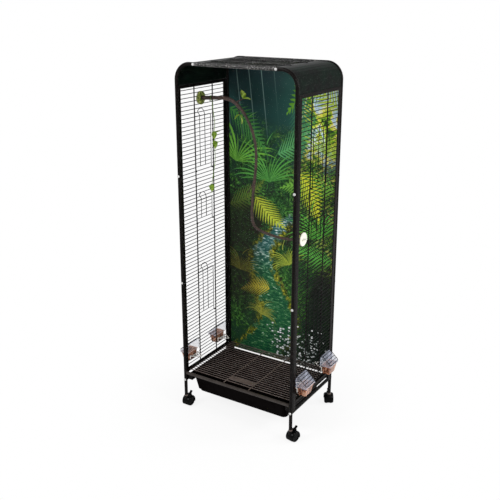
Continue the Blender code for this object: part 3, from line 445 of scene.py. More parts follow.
def local(t, source):
    """Position from a motif's root, turned and scaled: along and across."""
    split = t.split(source["P"])
    dx = t.sub(split[0], source["X"])
    dz = t.sub(split[2], source["Z"])
    turn = source["Turn"]
    along, across = t.turned(dx, dz, t.math("COSINE", turn), t.math("SINE", turn))
    return t.math("DIVIDE", along, source["Size"]), t.math("DIVIDE", across, source["Size"])


def fern(t, source):
    """A feathered frond: leaflets on both sides of a bent rib."""
    along, across = local(t, source)
    off = t.apart(across, t.mul(source["Bend"], t.mul(along, along)))
    inside = t.mul(t.step(along, 0.0, 0.05), t.step(along, 1.0, 0.97))
    swell = t.math("SINE", t.mul(t.power(t.larger(along, 0.0), 0.75), math.pi))
    far = t.math("DIVIDE", off, t.mul(t.larger(swell, 0.02), source["Width"]))
    rake = t.sub(along, t.mul(off, 0.9))
    phase = t.apart(t.math("FRACT", t.mul(rake, source["Leaflets"])), 0.5)
    fat = t.mul(t.sub(1.0, t.power(far, 2.0)), 0.36)
    blade = t.mul(t.step(phase, fat, t.sub(fat, 0.05)), t.step(far, 1.0, 0.94))
    rib = t.step(off, 0.012, 0.006)
    return (t.mul(inside, t.larger(blade, rib), clamp=True),
            t.sub(1.1, t.mul(t.add(phase, far), 0.55)))


def tuft(t, source):
    """Long blades that spring from one root and droop outward."""
    along, across = local(t, source)
    radius = t.math("SQRT", t.add(t.mul(along, along), t.mul(across, across)))
    angle = t.math("ARCTAN2", across, along)
    sway = t.mul(t.mul(source["Bend"], radius), radius)
    angle = t.sub(angle, t.mul(sway, t.math("SIGN", angle)))
    spot = t.mul(angle, source["Leaflets"])
    phase = t.apart(t.math("FRACT", spot), 0.5)
    seed = t.math("SINE", t.mul(t.math("FLOOR", spot), 12.9898))
    seed = t.math("FRACT", t.mul(seed, 43.7))
    far = t.math("DIVIDE", radius, t.line(seed, 0.5, 0.5))
    fat = t.mul(t.sub(1.0, far), 0.48)
    blade = t.step(phase, fat, t.sub(fat, 0.06))
    width = source["Width"]
    window = t.step(t.math("ABSOLUTE", angle), width, t.sub(width, 0.12))
    return (t.mul(t.mul(blade, window), t.step(far, 1.0, 0.96), clamp=True),
            t.line(seed, 0.5, t.sub(0.75, t.mul(phase, 0.9))))


# kind, x, z, turn in degrees, size, bend, leaflets, width, dark colour, light colour
MOTIFS = (
    ("fern", 0.29, 1.66, 205, 0.34, 0.30, 15, 0.30, (0.010, 0.060, 0.012), (0.13, 0.36, 0.03)),
    ("fern", 0.10, 1.52, -75, 0.30, -0.25, 17, 0.28, (0.006, 0.050, 0.030), (0.05, 0.22, 0.10)),
    ("fern", 0.30, 1.47, 150, 0.24, -0.35, 14, 0.32, (0.06, 0.16, 0.01), (0.50, 0.66, 0.07)),
    ("tuft", -0.25, 1.18, 75, 0.30, 0.55, 5.5, 1.35, (0.012, 0.070, 0.012), (0.16, 0.45, 0.05)),
    ("tuft", 0.24, 1.26, 70, 0.22, 0.60, 6.0, 1.50, (0.03, 0.12, 0.010), (0.34, 0.55, 0.06)),
    ("fern", -0.29, 1.44, -28, 0.30, -0.30, 15, 0.26, (0.006, 0.040, 0.012), (0.06, 0.24, 0.05)),
    ("tuft", -0.06, 1.10, 95, 0.27, 0.50, 6.5, 1.45, (0.008, 0.060, 0.014), (0.09, 0.34, 0.06)),
    ("fern", -0.02, 1.24, 20, 0.26, 0.45, 16, 0.28, (0.008, 0.060, 0.030), (0.10, 0.36, 0.12)),
    ("fern", 0.29, 1.10, 165, 0.28, 0.35, 15, 0.33, (0.010, 0.070, 0.008), (0.16, 0.40, 0.05)),
    ("fern", 0.10, 1.16, -40, 0.24, -0.45, 14, 0.34, (0.09, 0.15, 0.006), (0.62, 0.66, 0.04)),
    ("tuft", 0.22, 0.86, 110, 0.24, 0.60, 7.0, 1.40, (0.006, 0.050, 0.008), (0.10, 0.42, 0.05)),
    ("fern", -0.14, 1.02, -55, 0.22, 0.30, 13, 0.34, (0.06, 0.11, 0.006), (0.52, 0.60, 0.05)),
    ("fern", -0.29, 0.96, 15, 0.24, 0.40, 14, 0.28, (0.010, 0.034, 0.006), (0.12, 0.20, 0.03)),
    ("fern", 0.29, 0.76, 185, 0.22, -0.30, 14, 0.32, (0.010, 0.060, 0.006), (0.12, 0.46, 0.07)),
    ("tuft", -0.23, 0.62, 80, 0.16, 0.70, 7.0, 1.50, (0.05, 0.07, 0.005), (0.42, 0.40, 0.04)),
    ("tuft", 0.06, 0.70, 120, 0.15, 0.70, 7.0, 1.40, (0.04, 0.08, 0.005), (0.40, 0.48, 0.05)),
    ("fern", -0.05, 0.55, 170, 0.17, 0.40, 12, 0.36, (0.08, 0.08, 0.004), (0.60, 0.50, 0.05)),
    ("tuft", -0.10, 0.40, 75, 0.12, 0.80, 8.0, 1.50, (0.06, 0.08, 0.005), (0.46, 0.46, 0.06)),
)

# scale, lean, noise limits of the clumps, dark, light and sunlit colours
LEAF_LAYERS = (
    (130.0, 0.3, 0.40, 0.50, (0.003, 0.014, 0.008), (0.030, 0.110, 0.040), (0.10, 0.28, 0.02)),
    (84.0, 1.4, 0.44, 0.54, (0.004, 0.022, 0.006), (0.050, 0.200, 0.035), (0.30, 0.50, 0.03)),
    (52.0, 2.3, 0.50, 0.58, (0.006, 0.030, 0.006), (0.110, 0.330, 0.050), (0.80, 0.78, 0.16)),
)


def backdrop(t, p, x, z, soft, mid, fine):
    """Mist, a sunlit gap, leaf layers and rays behind the fronds."""
    height = t.step(t.add(z, t.mul(t.sub(soft, 0.5), 0.35)), 0.18, 1.66, "LINEAR")
    sky = t.ramp(height, ((0.0, (0.016, 0.075, 0.028)), (0.10, (0.013, 0.040, 0.018)),
                          (0.30, (0.020, 0.014, 0.010)), (0.52, (0.014, 0.016, 0.010)),
                          (0.70, (0.008, 0.030, 0.022)), (0.85, (0.010, 0.050, 0.045)),
                          (1.0, (0.012, 0.026, 0.032))))
    glow = t.mul(t.step(x, -0.10, 0.20), t.step(z, 1.05, 1.50))
    sky = t.mix(t.mul(glow, 0.85), sky, (0.028, 0.110, 0.085))
    lit = t.mul(t.step(x, 0.06, 0.17), t.step(z, 1.12, 1.34))
    dapple = t.ramp(t.noise(p, 12.0, 4.0, 0.62, 0.3),
                    ((0.38, (0.012, 0.070, 0.010)), (0.42, (0.18, 0.42, 0.025)),
                     (0.45, (0.60, 0.72, 0.040)), (0.48, (0.90, 0.82, 0.09)),
                     (0.51, (0.86, 0.92, 0.78)), (0.54, (0.58, 0.78, 0.92))))
    foliage = t.ramp(fine, ((0.40, (0.003, 0.012, 0.004)), (0.52, (0.012, 0.050, 0.012)),
                            (0.63, (0.06, 0.17, 0.03)), (0.74, (0.20, 0.32, 0.06))))
    ground = t.sub(1.0, t.step(t.line(soft, 0.35, z), 1.44, 1.60))
    leafy = t.mul(t.step(soft, 0.42, 0.56), ground)
    color = t.mix(t.mul(leafy, t.sub(1.0, lit)), t.mix(lit, sky, dapple), foliage)
    sunny = t.step(t.line(z, 0.35, x), 0.40, 0.66)
    for scale, lean, low, high, dark, light, gold in LEAF_LAYERS:
        mask, shade = t.leaflets(x, z, scale, lean)
        shade = t.mul(shade, t.line(mid, 1.6, 0.1), clamp=True)
        tone = t.mix(shade, dark, t.mix(sunny, light, gold))
        clump = t.step(t.noise(p, scale * 0.16, 2.0), low, high)
        clump = t.mul(clump, t.larger(ground, t.mul(lit, 0.3)))
        color = t.mix(t.mul(mask, clump), color, tone)
    rays = t.step(t.math("SINE", t.mul(t.add(x, t.mul(z, 0.12)), 92.0)), 0.96, 1.0)
    rays = t.mul(rays, t.mul(t.step(z, 1.24, 1.5), t.step(x, 0.0, -0.10)))
    return t.mix(t.mul(rays, 0.45), color, (0.30, 0.46, 0.42))


def stream(t, p, x, z, mid, fine, color):
    """A winding stream with mossy banks."""
    bend = t.mul(t.math("SINE", t.line(z, 9.5, 1.1)), 0.075)
    middle = t.sub(t.line(z, 0.16, -0.14), bend)
    wide = t.line(z, -0.13, 0.16)
    ragged = t.add(t.apart(x, middle), t.mul(t.sub(mid, 0.5), 0.09))
    flow = t.mul(t.step(ragged, wide, t.sub(wide, 0.02)), t.step(z, 0.98, 0.90))
    ripple = t.noise(t.vector("MULTIPLY", p, (1.0, 1.0, 3.2)), 42.0, 4.0, 0.6, 0.6)
    low_water = t.ramp(ripple, ((0.34, (0.004, 0.050, 0.026)), (0.53, (0.014, 0.11, 0.04)),
                                (0.63, (0.09, 0.27, 0.09)), (0.72, (0.62, 0.80, 0.64))))
    high_water = t.ramp(ripple, ((0.34, (0.010, 0.050, 0.055)), (0.52, (0.028, 0.12, 0.105)),
                                 (0.60, (0.20, 0.36, 0.34)), (0.67, (0.86, 0.93, 0.95))))
    color = t.mix(flow, color, t.mix(t.step(z, 0.60, 0.82), low_water, high_water))
    moss = t.mul(t.step(t.apart(ragged, wide), 0.030, 0.006), t.step(z, 0.95, 0.86))
    growth = t.ramp(fine, ((0.40, (0.020, 0.026, 0.004)), (0.52, (0.13, 0.16, 0.010)),
                           (0.62, (0.46, 0.42, 0.03)), (0.74, (0.78, 0.66, 0.10))))
    return t.mix(t.mul(moss, t.step(mid, 0.40, 0.56)), color, growth)


def fronds(t, p, fine, color):
    """The motifs, nudged by fine noise so that their edges look painted."""
    nudge = t.mul(t.sub(fine, 0.5), 0.006)
    spot = t.vector("ADD", p, t.node("CombineXYZ", {0: nudge, 2: nudge}).outputs[0])
    for kind, x, z, turn, size, bend, count, width, dark, light in MOTIFS:
        made = t.node("Group", node_tree=GROUPS[kind])
        values = (spot, x, z, math.radians(turn), size, bend, count, width)
        for socket, value in zip(made.inputs, values):
            t.feed(socket, value)
        shade = t.mul(made.outputs["Shade"], t.line(fine, 1.2, 0.4), clamp=True)
        color = t.mix(made.outputs["Mask"], color, t.mix(shade, dark, light))
    return color


def shore(t, p, x, z, soft, mid, color):
    """Dark hollows low at both sides, and a bank of pebbles."""
    dusk = t.mul(t.step(x, 0.08, 0.20), t.step(z, 0.85, 0.55))
    color = t.mix(t.mul(dusk, 0.85), color, (0.004, 0.007, 0.005))
    hollow = t.mul(t.step(x, -0.06, -0.20), t.step(z, 1.06, 0.92))
    hollow = t.mul(hollow, t.step(z, 0.34, 0.52))
    color = t.mix(t.mul(hollow, 0.75), color, (0.012, 0.009, 0.007))
    cells = t.voronoi(t.vector("MULTIPLY", p, (1.0, 1.0, 1.6)), 62.0)
    stone = t.step(cells["Distance"], 0.46, 0.34)
    pick = t.picks(cells["Color"])[0]
    drift = t.add(t.apart(x, 0.11), t.mul(t.sub(soft, 0.5), 0.2))
    bank = t.mul(t.step(drift, 0.20, 0.05), t.step(z, 0.40, 0.24))
    scatter = t.mul(t.math("GREATER_THAN", bank, 0.02),
                    t.math("GREATER_THAN", t.line(bank, 0.8, pick), 0.93))
    pebble = t.ramp(t.line(mid, 0.7, t.mul(pick, 0.5)),
                    ((0.30, (0.12, 0.15, 0.14)), (0.55, (0.50, 0.56, 0.55)),
                     (0.80, (0.90, 0.92, 0.93))))
    color = t.mix(t.mul(bank, 0.7), color, (0.010, 0.014, 0.012))
    return t.mix(t.mul(scatter, stone), color, pebble)


def jungle_material():
    """A generic jungle stream: mist, fronds, water, moss and pebbles."""
    mat, t = material("jungle_print")
    p = t.place()
    x, _, z = t.split(p)
    soft = t.noise(p, 7.0, 3.0, 0.55)
    mid = t.noise(p, 28.0, 4.0, 0.62)
    fine = t.noise(p, 90.0, 4.0, 0.65)
    color = backdrop(t, p, x, z, soft, mid, fine)
    color = stream(t, p, x, z, mid, fine, color)
    color = fronds(t, p, fine, color)
    color = shore(t, p, x, z, soft, mid, color)
    t.surface({"Base Color": color, "Roughness": 0.5, "Specular IOR Level": 0.12})
    return mat


# --- meshes ---

def linked(name, data):
    obj = bpy.data.objects.new(name, data)
    bpy.context.collection.objects.link(obj)
    return obj


def mesh_object(name, bm, mat):
    bmesh.ops.recalc_face_normals(bm, faces=bm.faces)
    mesh = bpy.data.meshes.new(name)
    bm.to_mesh(mesh)
    bm.free()
    mesh.materials.append(mat)
    return linked(name, mesh)


def piece(name, bm, mat, body, nodes=(), smooth=40.0):
    """Turn a bmesh into a piece that rides on a body and stands for CAD nodes."""
    obj = mesh_object(name, bm, mat)
    obj.data.shade_smooth()
    obj.data.set_sharp_from_angle(angle=math.radians(smooth))
    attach(obj, body)
    if nodes:
        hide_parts(*nodes)
    return obj


def add_loft(bm, rings, closed=False):
    loops = [[bm.verts.new(p) for p in ring] for ring in rings]
    pairs = list(zip(loops, loops[1:]))
    if closed:
        pairs.append((loops[-1], loops[0]))
    for a, b in pairs:
        for i in range(len(a)):
            j = (i + 1) % len(a)
            bm.faces.new((a[i], a[j], b[j], b[i]))
    if not closed:
        bm.faces.new(loops[0])
        bm.faces.new(loops[-1])


def circle(center, side, other, radius, sides):
    """Points round a centre, in the plane of two directions."""
    angles = (2 * math.pi * i / sides for i in range(sides))
    return [center + radius * (side * math.cos(a) + other * math.sin(a)) for a in angles]


def sweep_rings(path, radii, sides):
    """Circles square to a path, which don't twist round it."""
    path = [Vector(p) for p in path]
    tangents = []
    for i in range(len(path)):
        before = path[i] - path[i - 1] if i else path[1] - path[0]
        after = path[i + 1] - path[i] if i + 1 < len(path) else before
        tangents.append((before.normalized() + after.normalized()).normalized())
    side = Vector((0, 1, 0)) if abs(tangents[0].y) < 0.9 else Vector((0, 0, 1))
    rings = []
    for point, tangent, radius in zip(path, tangents, radii):
        side = (side - tangent * side.dot(tangent)).normalized()
        rings.append(circle(point, side, tangent.cross(side), radius, sides))
    return rings


def add_wire(bm, path, radius, sides=8):
    add_loft(bm, sweep_rings(path, [radius] * len(path), sides))


def add_turned(bm, profile, center, axis, sides):
    """Turn (radius, position) pairs round an axis through the centre."""
    axis = Vector(axis).normalized()
    side = axis.orthogonal().normalized()
    other = axis.cross(side)
    add_loft(bm, [circle(Vector(center) + axis * along, side, other, radius, sides)
                  for radius, along in profile])


def add_box(bm, x, y, z):
    """A box between pairs of limits."""
    x, y, z = sorted(x), sorted(y), sorted(z)
    add_loft(bm, [[(x[0], y[0], h), (x[1], y[0], h), (x[1], y[1], h), (x[0], y[1], h)] for h in z])


def mirrored(profile):
    """A profile followed by its mirror image, back to its start."""
    return [*profile, *((radius, -along) for radius, along in reversed(profile))]


def arc(center, radius, start, stop, steps):
    """Points of an arc, in two coordinates."""
    angles = (math.radians(start + (stop - start) * i / steps) for i in range(steps + 1))
    return [(center[0] + radius * math.cos(a), center[1] + radius * math.sin(a)) for a in angles]


def smooth_path(points, parts):
    pts = [Vector(p) for p in points]
    out = []
    for i in range(len(pts) - 1):
        p0, p1, p2, p3 = (pts[max(i - 1, 0)], pts[i], pts[i + 1], pts[min(i + 2, len(pts) - 1)])
        for k in range(parts):
            t = k / parts
            out.append(0.5 * (2 * p1 + (p2 - p0) * t + (2 * p0 - 5 * p1 + 4 * p2 - p3) * t * t
                              + (3 * p1 - p0 - 3 * p2 + p3) * t ** 3))
    out.append(pts[-1])
    return out


def rounded(points, radius, steps):
    """A path whose inner corners are rounded."""
    pts = [Vector(p) for p in points]
    out = [pts[0]]
    for a, b, c in zip(pts, pts[1:], pts[2:]):
        back = b + (a - b).normalized() * min(radius, (a - b).length * 0.45)
        ahead = b + (c - b).normalized() * min(radius, (c - b).length * 0.45)
        for i in range(steps + 1):
            t = i / steps
            out.append(back.lerp(b, t).lerp(b.lerp(ahead, t), t))
    out.append(pts[-1])
    return out


def bevel(obj, width, segments=2):
    mod = obj.modifiers.new("bevel", "BEVEL")
    mod.width = width
    mod.segments = segments
    mod.limit_method = "ANGLE"
    mod.angle_limit = math.radians(40)
    return obj


# --- frame ---

def posts():
    for name_y, sy in PLACES.items():
        for name_x, sx in SIDES.items():
            path = [(PX, LEG_BOTTOM), (PX, 0.8),
                    *arc((PX - CORNER_R, TOP_Z - CORNER_R), CORNER_R, 0, 90, 20),
                    (ROOF_JOINT_X, TOP_Z)]
            bm = bmesh.new()
            add_wire(bm, [(sx * a, sy * PY, b) for a, b in path], TUBE_R, 28)
            node = f"{name_x}_{name_y}_post"
            piece(f"{node}_tube", bm, HAMMERED, "cage", (node,))


def roof_tubes():
    reach = ROOF_JOINT_X - GAP
    lip = 0.0006
    profile = mirrored(((TUBE_R - lip, -reach), (TUBE_R, lip - reach)))
    for name, sy in PLACES.items():
        bm = bmesh.new()
        add_turned(bm, profile, (0, sy * PY, TOP_Z), (1, 0, 0), 28)
        node = f"roof_{name}_tube"
        piece(f"{node}_bar", bm, HOOP_SHEEN, "cage", (node,))
    bm = bmesh.new()
    reach = PX - TUBE_R - GAP
    add_wire(bm, ((-reach, PY, LOW_RAIL_Z), (reach, PY, LOW_RAIL_Z)), TUBE_R, 24)
    piece("rear_rail_tube", bm, HAMMERED, "cage", ("rear_bottom_rail",))


def screws():
    """Dome screws on posts and roof tube, leg collars, and two hooks under the hoop."""
    bm = bmesh.new()
    dome = ((0.0062, 0.0), (0.0062, 0.0008), (0.0055, 0.0022), (0.0040, 0.0034), (0.0018, 0.0040),
            (0.0002, 0.0041))
    spots = [(PX, z) for z in SCREW_ROWS] + [(ROOF_SCREW_X, TOP_Z)]
    for sy in PLACES.values():
        for x, z in spots:
            for sx in SIDES.values():
                add_turned(bm, dome, (sx * x, sy * (PY + TUBE_R - SEAT), z), (0, sy, 0), 20)
    piece("dome_screws", bm, SILVER, "cage")
    bm = bmesh.new()
    ring = ((TUBE_R, 0.0), (TUBE_R + 0.0009, 0.0006), (TUBE_R + 0.0009, 0.0070), (TUBE_R, 0.0076))
    for sy in PLACES.values():
        for sx in SIDES.values():
            add_turned(bm, ring, (sx * PX, sy * PY, LEG_BOTTOM + SEAT), (0, 0, 1), 28)
    piece("leg_collars", bm, GRATE, "cage")
    bm = bmesh.new()
    y = -PY + 0.004
    z = TOP_Z - TUBE_R
    for x in HOOKS_X:
        bend = arc((x + HOOK_BEND, z - 0.008), HOOK_BEND, 180, 380, 10)
        add_wire(bm, [(x, y, z + 0.002), (x, y, z - 0.008), *((a, y, b) for a, b in bend)], HOOK_R)
    piece("hoop_hooks", bm, WIRE_BLACK, "cage")


def add_plate(bm, side, x_in, x_out, y, z):
    add_box(bm, (side * x_in, side * x_out), y, z)


def side_walls():
    """Flat bars, thick uprights and round cross wires of each side."""
    inner = WALL_Y - SIDE_BAR
    x_in = PLATE_X - PLATE_T / 2
    x_out = PLATE_X + PLATE_T / 2
    inset = 0.0001    # keeps the faces of crossing bars apart
    width, deep = UPRIGHT
    column_in = COLUMN_Y - width / 2
    column_out = COLUMN_Y + width / 2
    column_x = PLATE_X - WIRE_R
    end = inner + 0.002
    for name, side in SIDES.items():
        bm = bmesh.new()
        for sy in (-1, 1):
            add_plate(bm, side, x_in, x_out, (sy * WALL_Y, sy * inner), (LOW_RAIL_Z, TOP_BAR[1]))
        for bar in (TOP_BAR, LEDGE_BAR):
            add_plate(bm, side, x_in + inset, x_out - inset, (-inner, inner), bar)
        add_plate(bm, side, LEDGE_IN, PLATE_X, (-WALL_Y, WALL_Y), (LEDGE_TOP - LEDGE_T, LEDGE_TOP))
        bevel(piece(f"{name}_wall_bars", bm, HAMMERED, "cage", (f"{name}_side_frame",)), 0.0006)

        bm = bmesh.new()
        for sy in (-1, 1):
            add_plate(bm, side, column_x - deep, column_x, (sy * column_in, sy * column_out),
                      (LEDGE_BAR[0] + 0.001, TOP_BAR[1] - 0.001))
        bevel(piece(f"{name}_uprights", bm, HAMMERED, "cage"), 0.0012, 3)

        bm = bmesh.new()
        x = side * PLATE_X
        for row in (*range(-LOW_ROWS, 0), *range(1, WIRE_ROWS + 1)):
            runs = [(-end, end)]
            if any(sill < row < header for sill, header in DOORS.values()):
                runs = [(-end, -column_in), (column_in, end)]
            elif FEED_SILL < row < FEED_HEADER:
                runs = [(-column_out, column_out)]
            for y0, y1 in runs:
                add_wire(bm, ((x, y0, row_z(row)), (x, y1, row_z(row))), WALL_WIRE_R, 10)
        add_wire(bm, ((side * PX, -WALL_Y, LOW_RAIL_Z), (side * PX, WALL_Y, LOW_RAIL_Z)), TUBE_R, 24)
        piece(f"{name}_wall_wires", bm, WIRE_BLACK, "cage")


def both_ways(leg):
    """A wire that runs along one leg and back along the other."""
    return leg(-1) + leg(1)[::-1]


def doors():
    half, rise, lean = LATCH
    for side_name, side in SIDES.items():
        x = side * (PLATE_X + EYE_R)
        outer = x + side * (2 * DOOR_R)
        tip = outer + side * lean
        for door, (sill, header) in DOORS.items():
            node = f"{side_name}_{door}_door"
            z0 = row_z(sill)
            z1 = row_z(header)
            eye = arc((PLATE_X, z0), EYE_R, 110, 360, 16)
            bend = arc((DOOR_HALF - DOOR_CORNER, z1 - DOOR_CORNER), DOOR_CORNER, 0, 90, 8)

            def rim_leg(sy):
                return ([(side * a, sy * DOOR_HALF, b) for a, b in eye]
                        + [(x, sy * a, b) for a, b in bend])

            def latch_leg(sy):
                return [(outer, sy * half, z0 + WIRE_PITCH - DOOR_R),
                        *smooth_path(((outer, sy * half, z1 + 0.004),
                                      (tip, sy * (half + 0.003), z1 + rise * 0.6),
                                      (tip, sy * half * 0.45, z1 + rise)), 5)]

            bm = bmesh.new()
            add_wire(bm, both_ways(rim_leg), DOOR_WIRE_R, 10)
            for row in range(sill + 1, header):
                add_wire(bm, ((x, -DOOR_HALF, row_z(row)), (x, DOOR_HALF, row_z(row))),
                         DOOR_WIRE_R * CROSS_SHARE, 10)
            add_wire(bm, both_ways(latch_leg), DOOR_WIRE_R, 10)
            piece(f"{node}_wires", bm, WIRE_BLACK, node, (node,))


def feeder_wires():
    """Flaps over the feeders and the white perches inside."""
    half = FEEDER_W / 2
    drop = math.radians(FLAP_DROP)
    eye = arc((0, 0), EYE_R, -160, 90, 16)
    bend = arc((FLAP_LENGTH - DOOR_CORNER, half - DOOR_CORNER), DOOR_CORNER, 90, 0, 8)
    foot = row_z(FEED_SILL) + WIRE_R
    base = PLATE_X - PERCH_BASE
    for side_name, side in SIDES.items():
        for place_name, sy in PLACES.items():
            node = f"{side_name}_{place_name}_feeder"
            y = sy * FEED_Y
            out = Vector((side * math.cos(drop), 0, -math.sin(drop)))
            up = Vector((side * math.sin(drop), 0, math.cos(drop)))
            axis = Vector((side * PLATE_X, y, row_z(FEED_HEADER)))

            def spot(a, b, c):
                return axis + out * a + up * c + Vector((0, b, 0))

            def rim_leg(s):
                return [spot(a, s * half, b) for a, b in eye] + [spot(a, s * b, EYE_R) for a, b in bend]

            bm = bmesh.new()
            add_wire(bm, both_ways(rim_leg), DOOR_R, 10)
            for i in range(1, FLAP_WIRES + 1):
                a = FLAP_LENGTH * i / (FLAP_WIRES + 1)
                add_wire(bm, (spot(a, -half, EYE_R), spot(a, half, EYE_R)), DOOR_R * CROSS_SHARE, 10)
            piece(f"{node}_flap_wires", bm, WIRE_BLACK, f"{node}_flap", (f"{node}_flap",))

            near, far = y - PERCH_HALF, y + PERCH_HALF
            corners = ((PLATE_X, near, foot), (PLATE_X, near, PERCH_Z), (base, near, PERCH_Z),
                       (PLATE_X - PERCH_REACH, y, PERCH_Z), (base, far, PERCH_Z),
                       (PLATE_X, far, PERCH_Z), (PLATE_X, far, foot))
            bm = bmesh.new()
            add_wire(bm, rounded([(side * a, b, c) for a, b, c in corners], 0.004, 5), PERCH_R, 12)
            add_wire(bm, ((side * base, near, PERCH_Z), (side * base, far, PERCH_Z)), PERCH_R * 0.9, 12)
            piece(f"{node}_perch_bar", bm, WHITE, "cage", (f"{node}_perch",))


def floor_wires():
    """Round wires, flat strips and finger plate of the pull-out grate."""
    bm = bmesh.new()
    for i in range(GRATE_ROWS):
        y = GRATE_FIRST_Y + i * WIRE_PITCH
        radius = GRATE_R * 1.4 if i in (0, GRATE_ROWS - 1) else GRATE_WIRE_R
        z = GRATE_Z - GRATE_R + radius
        add_wire(bm, ((-GRATE_X, y, z), (GRATE_X, y, z)), radius, 10)
    last = GRATE_FIRST_Y + (GRATE_ROWS - 1) * WIRE_PITCH
    z0 = GRATE_Z + GRATE_R * 0.6
    half, thick = GRATE_STRIP
    for sx in (-1, 1):
        x = sx * GRATE_STRIP_X
        add_box(bm, (x - half, x + half), (-PY, last + half), (z0, z0 + thick))
    add_box(bm, (-GRATE_STRIP_X, GRATE_STRIP_X), FINGER_PLATE, (z0 + 0.0002, z0 + 0.0018))
    piece("grate_wires", bm, GRATE, "floor_grate", ("floor_grate",))


# --- branch and leaves ---

def lumpy(rings, path, waves):
    """Push the points of inner rings out or in by waves of (frequency, height)."""
    for ring, center in zip(rings[1:-1], path[1:-1]):
        for k, point in enumerate(ring):
            bump = sum(noise.noise(point * often) * high for often, high in waves)
            ring[k] = point + (point - center).normalized() * bump
    return rings


def branch():
    """Knobbly natural branch with twigs, and its threaded studs."""
    path = smooth_path(BRANCH_POINTS, 14)
    bm = bmesh.new()
    radii = []
    for i, p in enumerate(path):
        swell = noise.noise(p * 22.0) * 0.16 + noise.noise(p * 75.0) * 0.09
        thick = BRANCH_R[0] + (BRANCH_R[1] - BRANCH_R[0]) * min(1.0, 3.0 * i / len(path))
        radii.append(thick * (1.0 + swell))
    add_loft(bm, lumpy(sweep_rings(path, radii, 22), path, ((160.0, 0.0009), (420.0, 0.0004))))
    for points in TWIGS:
        line = smooth_path(points, 8)
        fade = [TWIG_R * (1 - 0.55 * i / (len(line) - 1)) for i in range(len(line))]
        add_loft(bm, lumpy(sweep_rings(line, fade, 12), line, ((260.0, 0.0006),)))
    piece("branch_wood", bm, BARK, "cage", ("branch_perch",), 60.0)

    bm = bmesh.new()
    reach, count = 0.0265, 44
    thread = [(STUD_R if i % 2 else STUD_R * 0.84, reach * i / count) for i in range(count + 1)]
    for point, sx in ((BRANCH_POINTS[0], -1), (BRANCH_POINTS[-1], 1)):
        start = (point[0] - sx * 0.003, point[1], point[2])
        add_turned(bm, thread, start, (sx, 0, 0), 20)
    piece("branch_studs", bm, SILVER, "cage", smooth=25.0)


def add_leaf(bm, uv, length, width, base, heading, pitch):
    """A pointed, cupped leaf with a short stalk."""
    rows, columns = 12, 6
    turn = Matrix.Rotation(math.radians(heading), 4, "Z") @ Matrix.Rotation(-math.radians(pitch), 4, "Y")
    grid = {}
    for face, lift in ((0, 0.0004), (1, -0.0004)):
        for i in range(rows + 1):
            a = i / rows
            half = width / 2 * math.sin(math.pi * a ** 0.82) ** 0.8 * (1.0 - 0.15 * a) + 0.0006
            for j in range(columns + 1):
                b = 2 * j / columns - 1
                curl = -0.16 * length * a * a + 0.05 * length * math.sin(7 * a) * b
                cup = 0.22 * width * abs(b) ** 1.6 * math.sin(math.pi * a)
                point = Vector((a * length, b * half, curl + cup + lift))
                grid[face, i, j] = bm.verts.new(Vector(base) + turn @ point)

    def quad(keys, coords):
        made = bm.faces.new([grid[k] for k in keys])
        for loop, value in zip(made.loops, coords):
            loop[uv].uv = value

    for i in range(rows):
        for j in range(columns):
            for face in (0, 1):
                keys = [(face, i, j), (face, i + 1, j), (face, i + 1, j + 1), (face, i, j + 1)]
                coords = [(k[1] / rows, k[2] / columns) for k in keys]
                if face:
                    keys, coords = keys[::-1], coords[::-1]
                quad(keys, coords)
    edge = [(i, 0) for i in range(rows + 1)] + [(rows, j) for j in range(1, columns + 1)]
    edge += [(i, columns) for i in range(rows - 1, -1, -1)]
    edge += [(0, j) for j in range(columns - 1, 0, -1)]
    for (i, j), (k, m) in zip(edge, edge[1:] + edge[:1]):
        keys = [(1, i, j), (1, k, m), (0, k, m), (0, i, j)]
        quad(keys, [(q[1] / rows, q[2] / columns) for q in keys])


def leaf_mesh(kind):
    bm = bmesh.new()
    uv = bm.loops.layers.uv.new("UVMap")
    for item in LEAVES[kind]:
        add_leaf(bm, uv, *item)
    return bm


def leaves():
    piece("twig_leaves", leaf_mesh("twig"), LEAF, "cage", smooth=70.0)

    bm = leaf_mesh("vine")
    near = Vector((-0.247, -0.0194, 1.5095))
    loop_r = BRANCH_R[0] + 0.0032
    hoop = [near + Vector((0.0004 * i, loop_r * math.cos(a), loop_r * math.sin(a)))
            for i, a in enumerate(math.radians(-120 + 330 * k / 28) for k in range(29))]
    line = hoop[::-1] + smooth_path(VINE_POINTS[1:], 5)
    add_wire(bm, line, VINE_R)
    for item in LEAVES["vine"]:
        base = Vector(item[2])
        joint = min(line, key=lambda q: (Vector(q) - base).length)
        if (Vector(joint) - base).length > 0.0008:
            add_wire(bm, (joint, base), VINE_R * 0.7, 6)
    piece("vine_stem_leaves", bm, VINE_LEAF, "cage", ("leaf_vine",), 70.0)


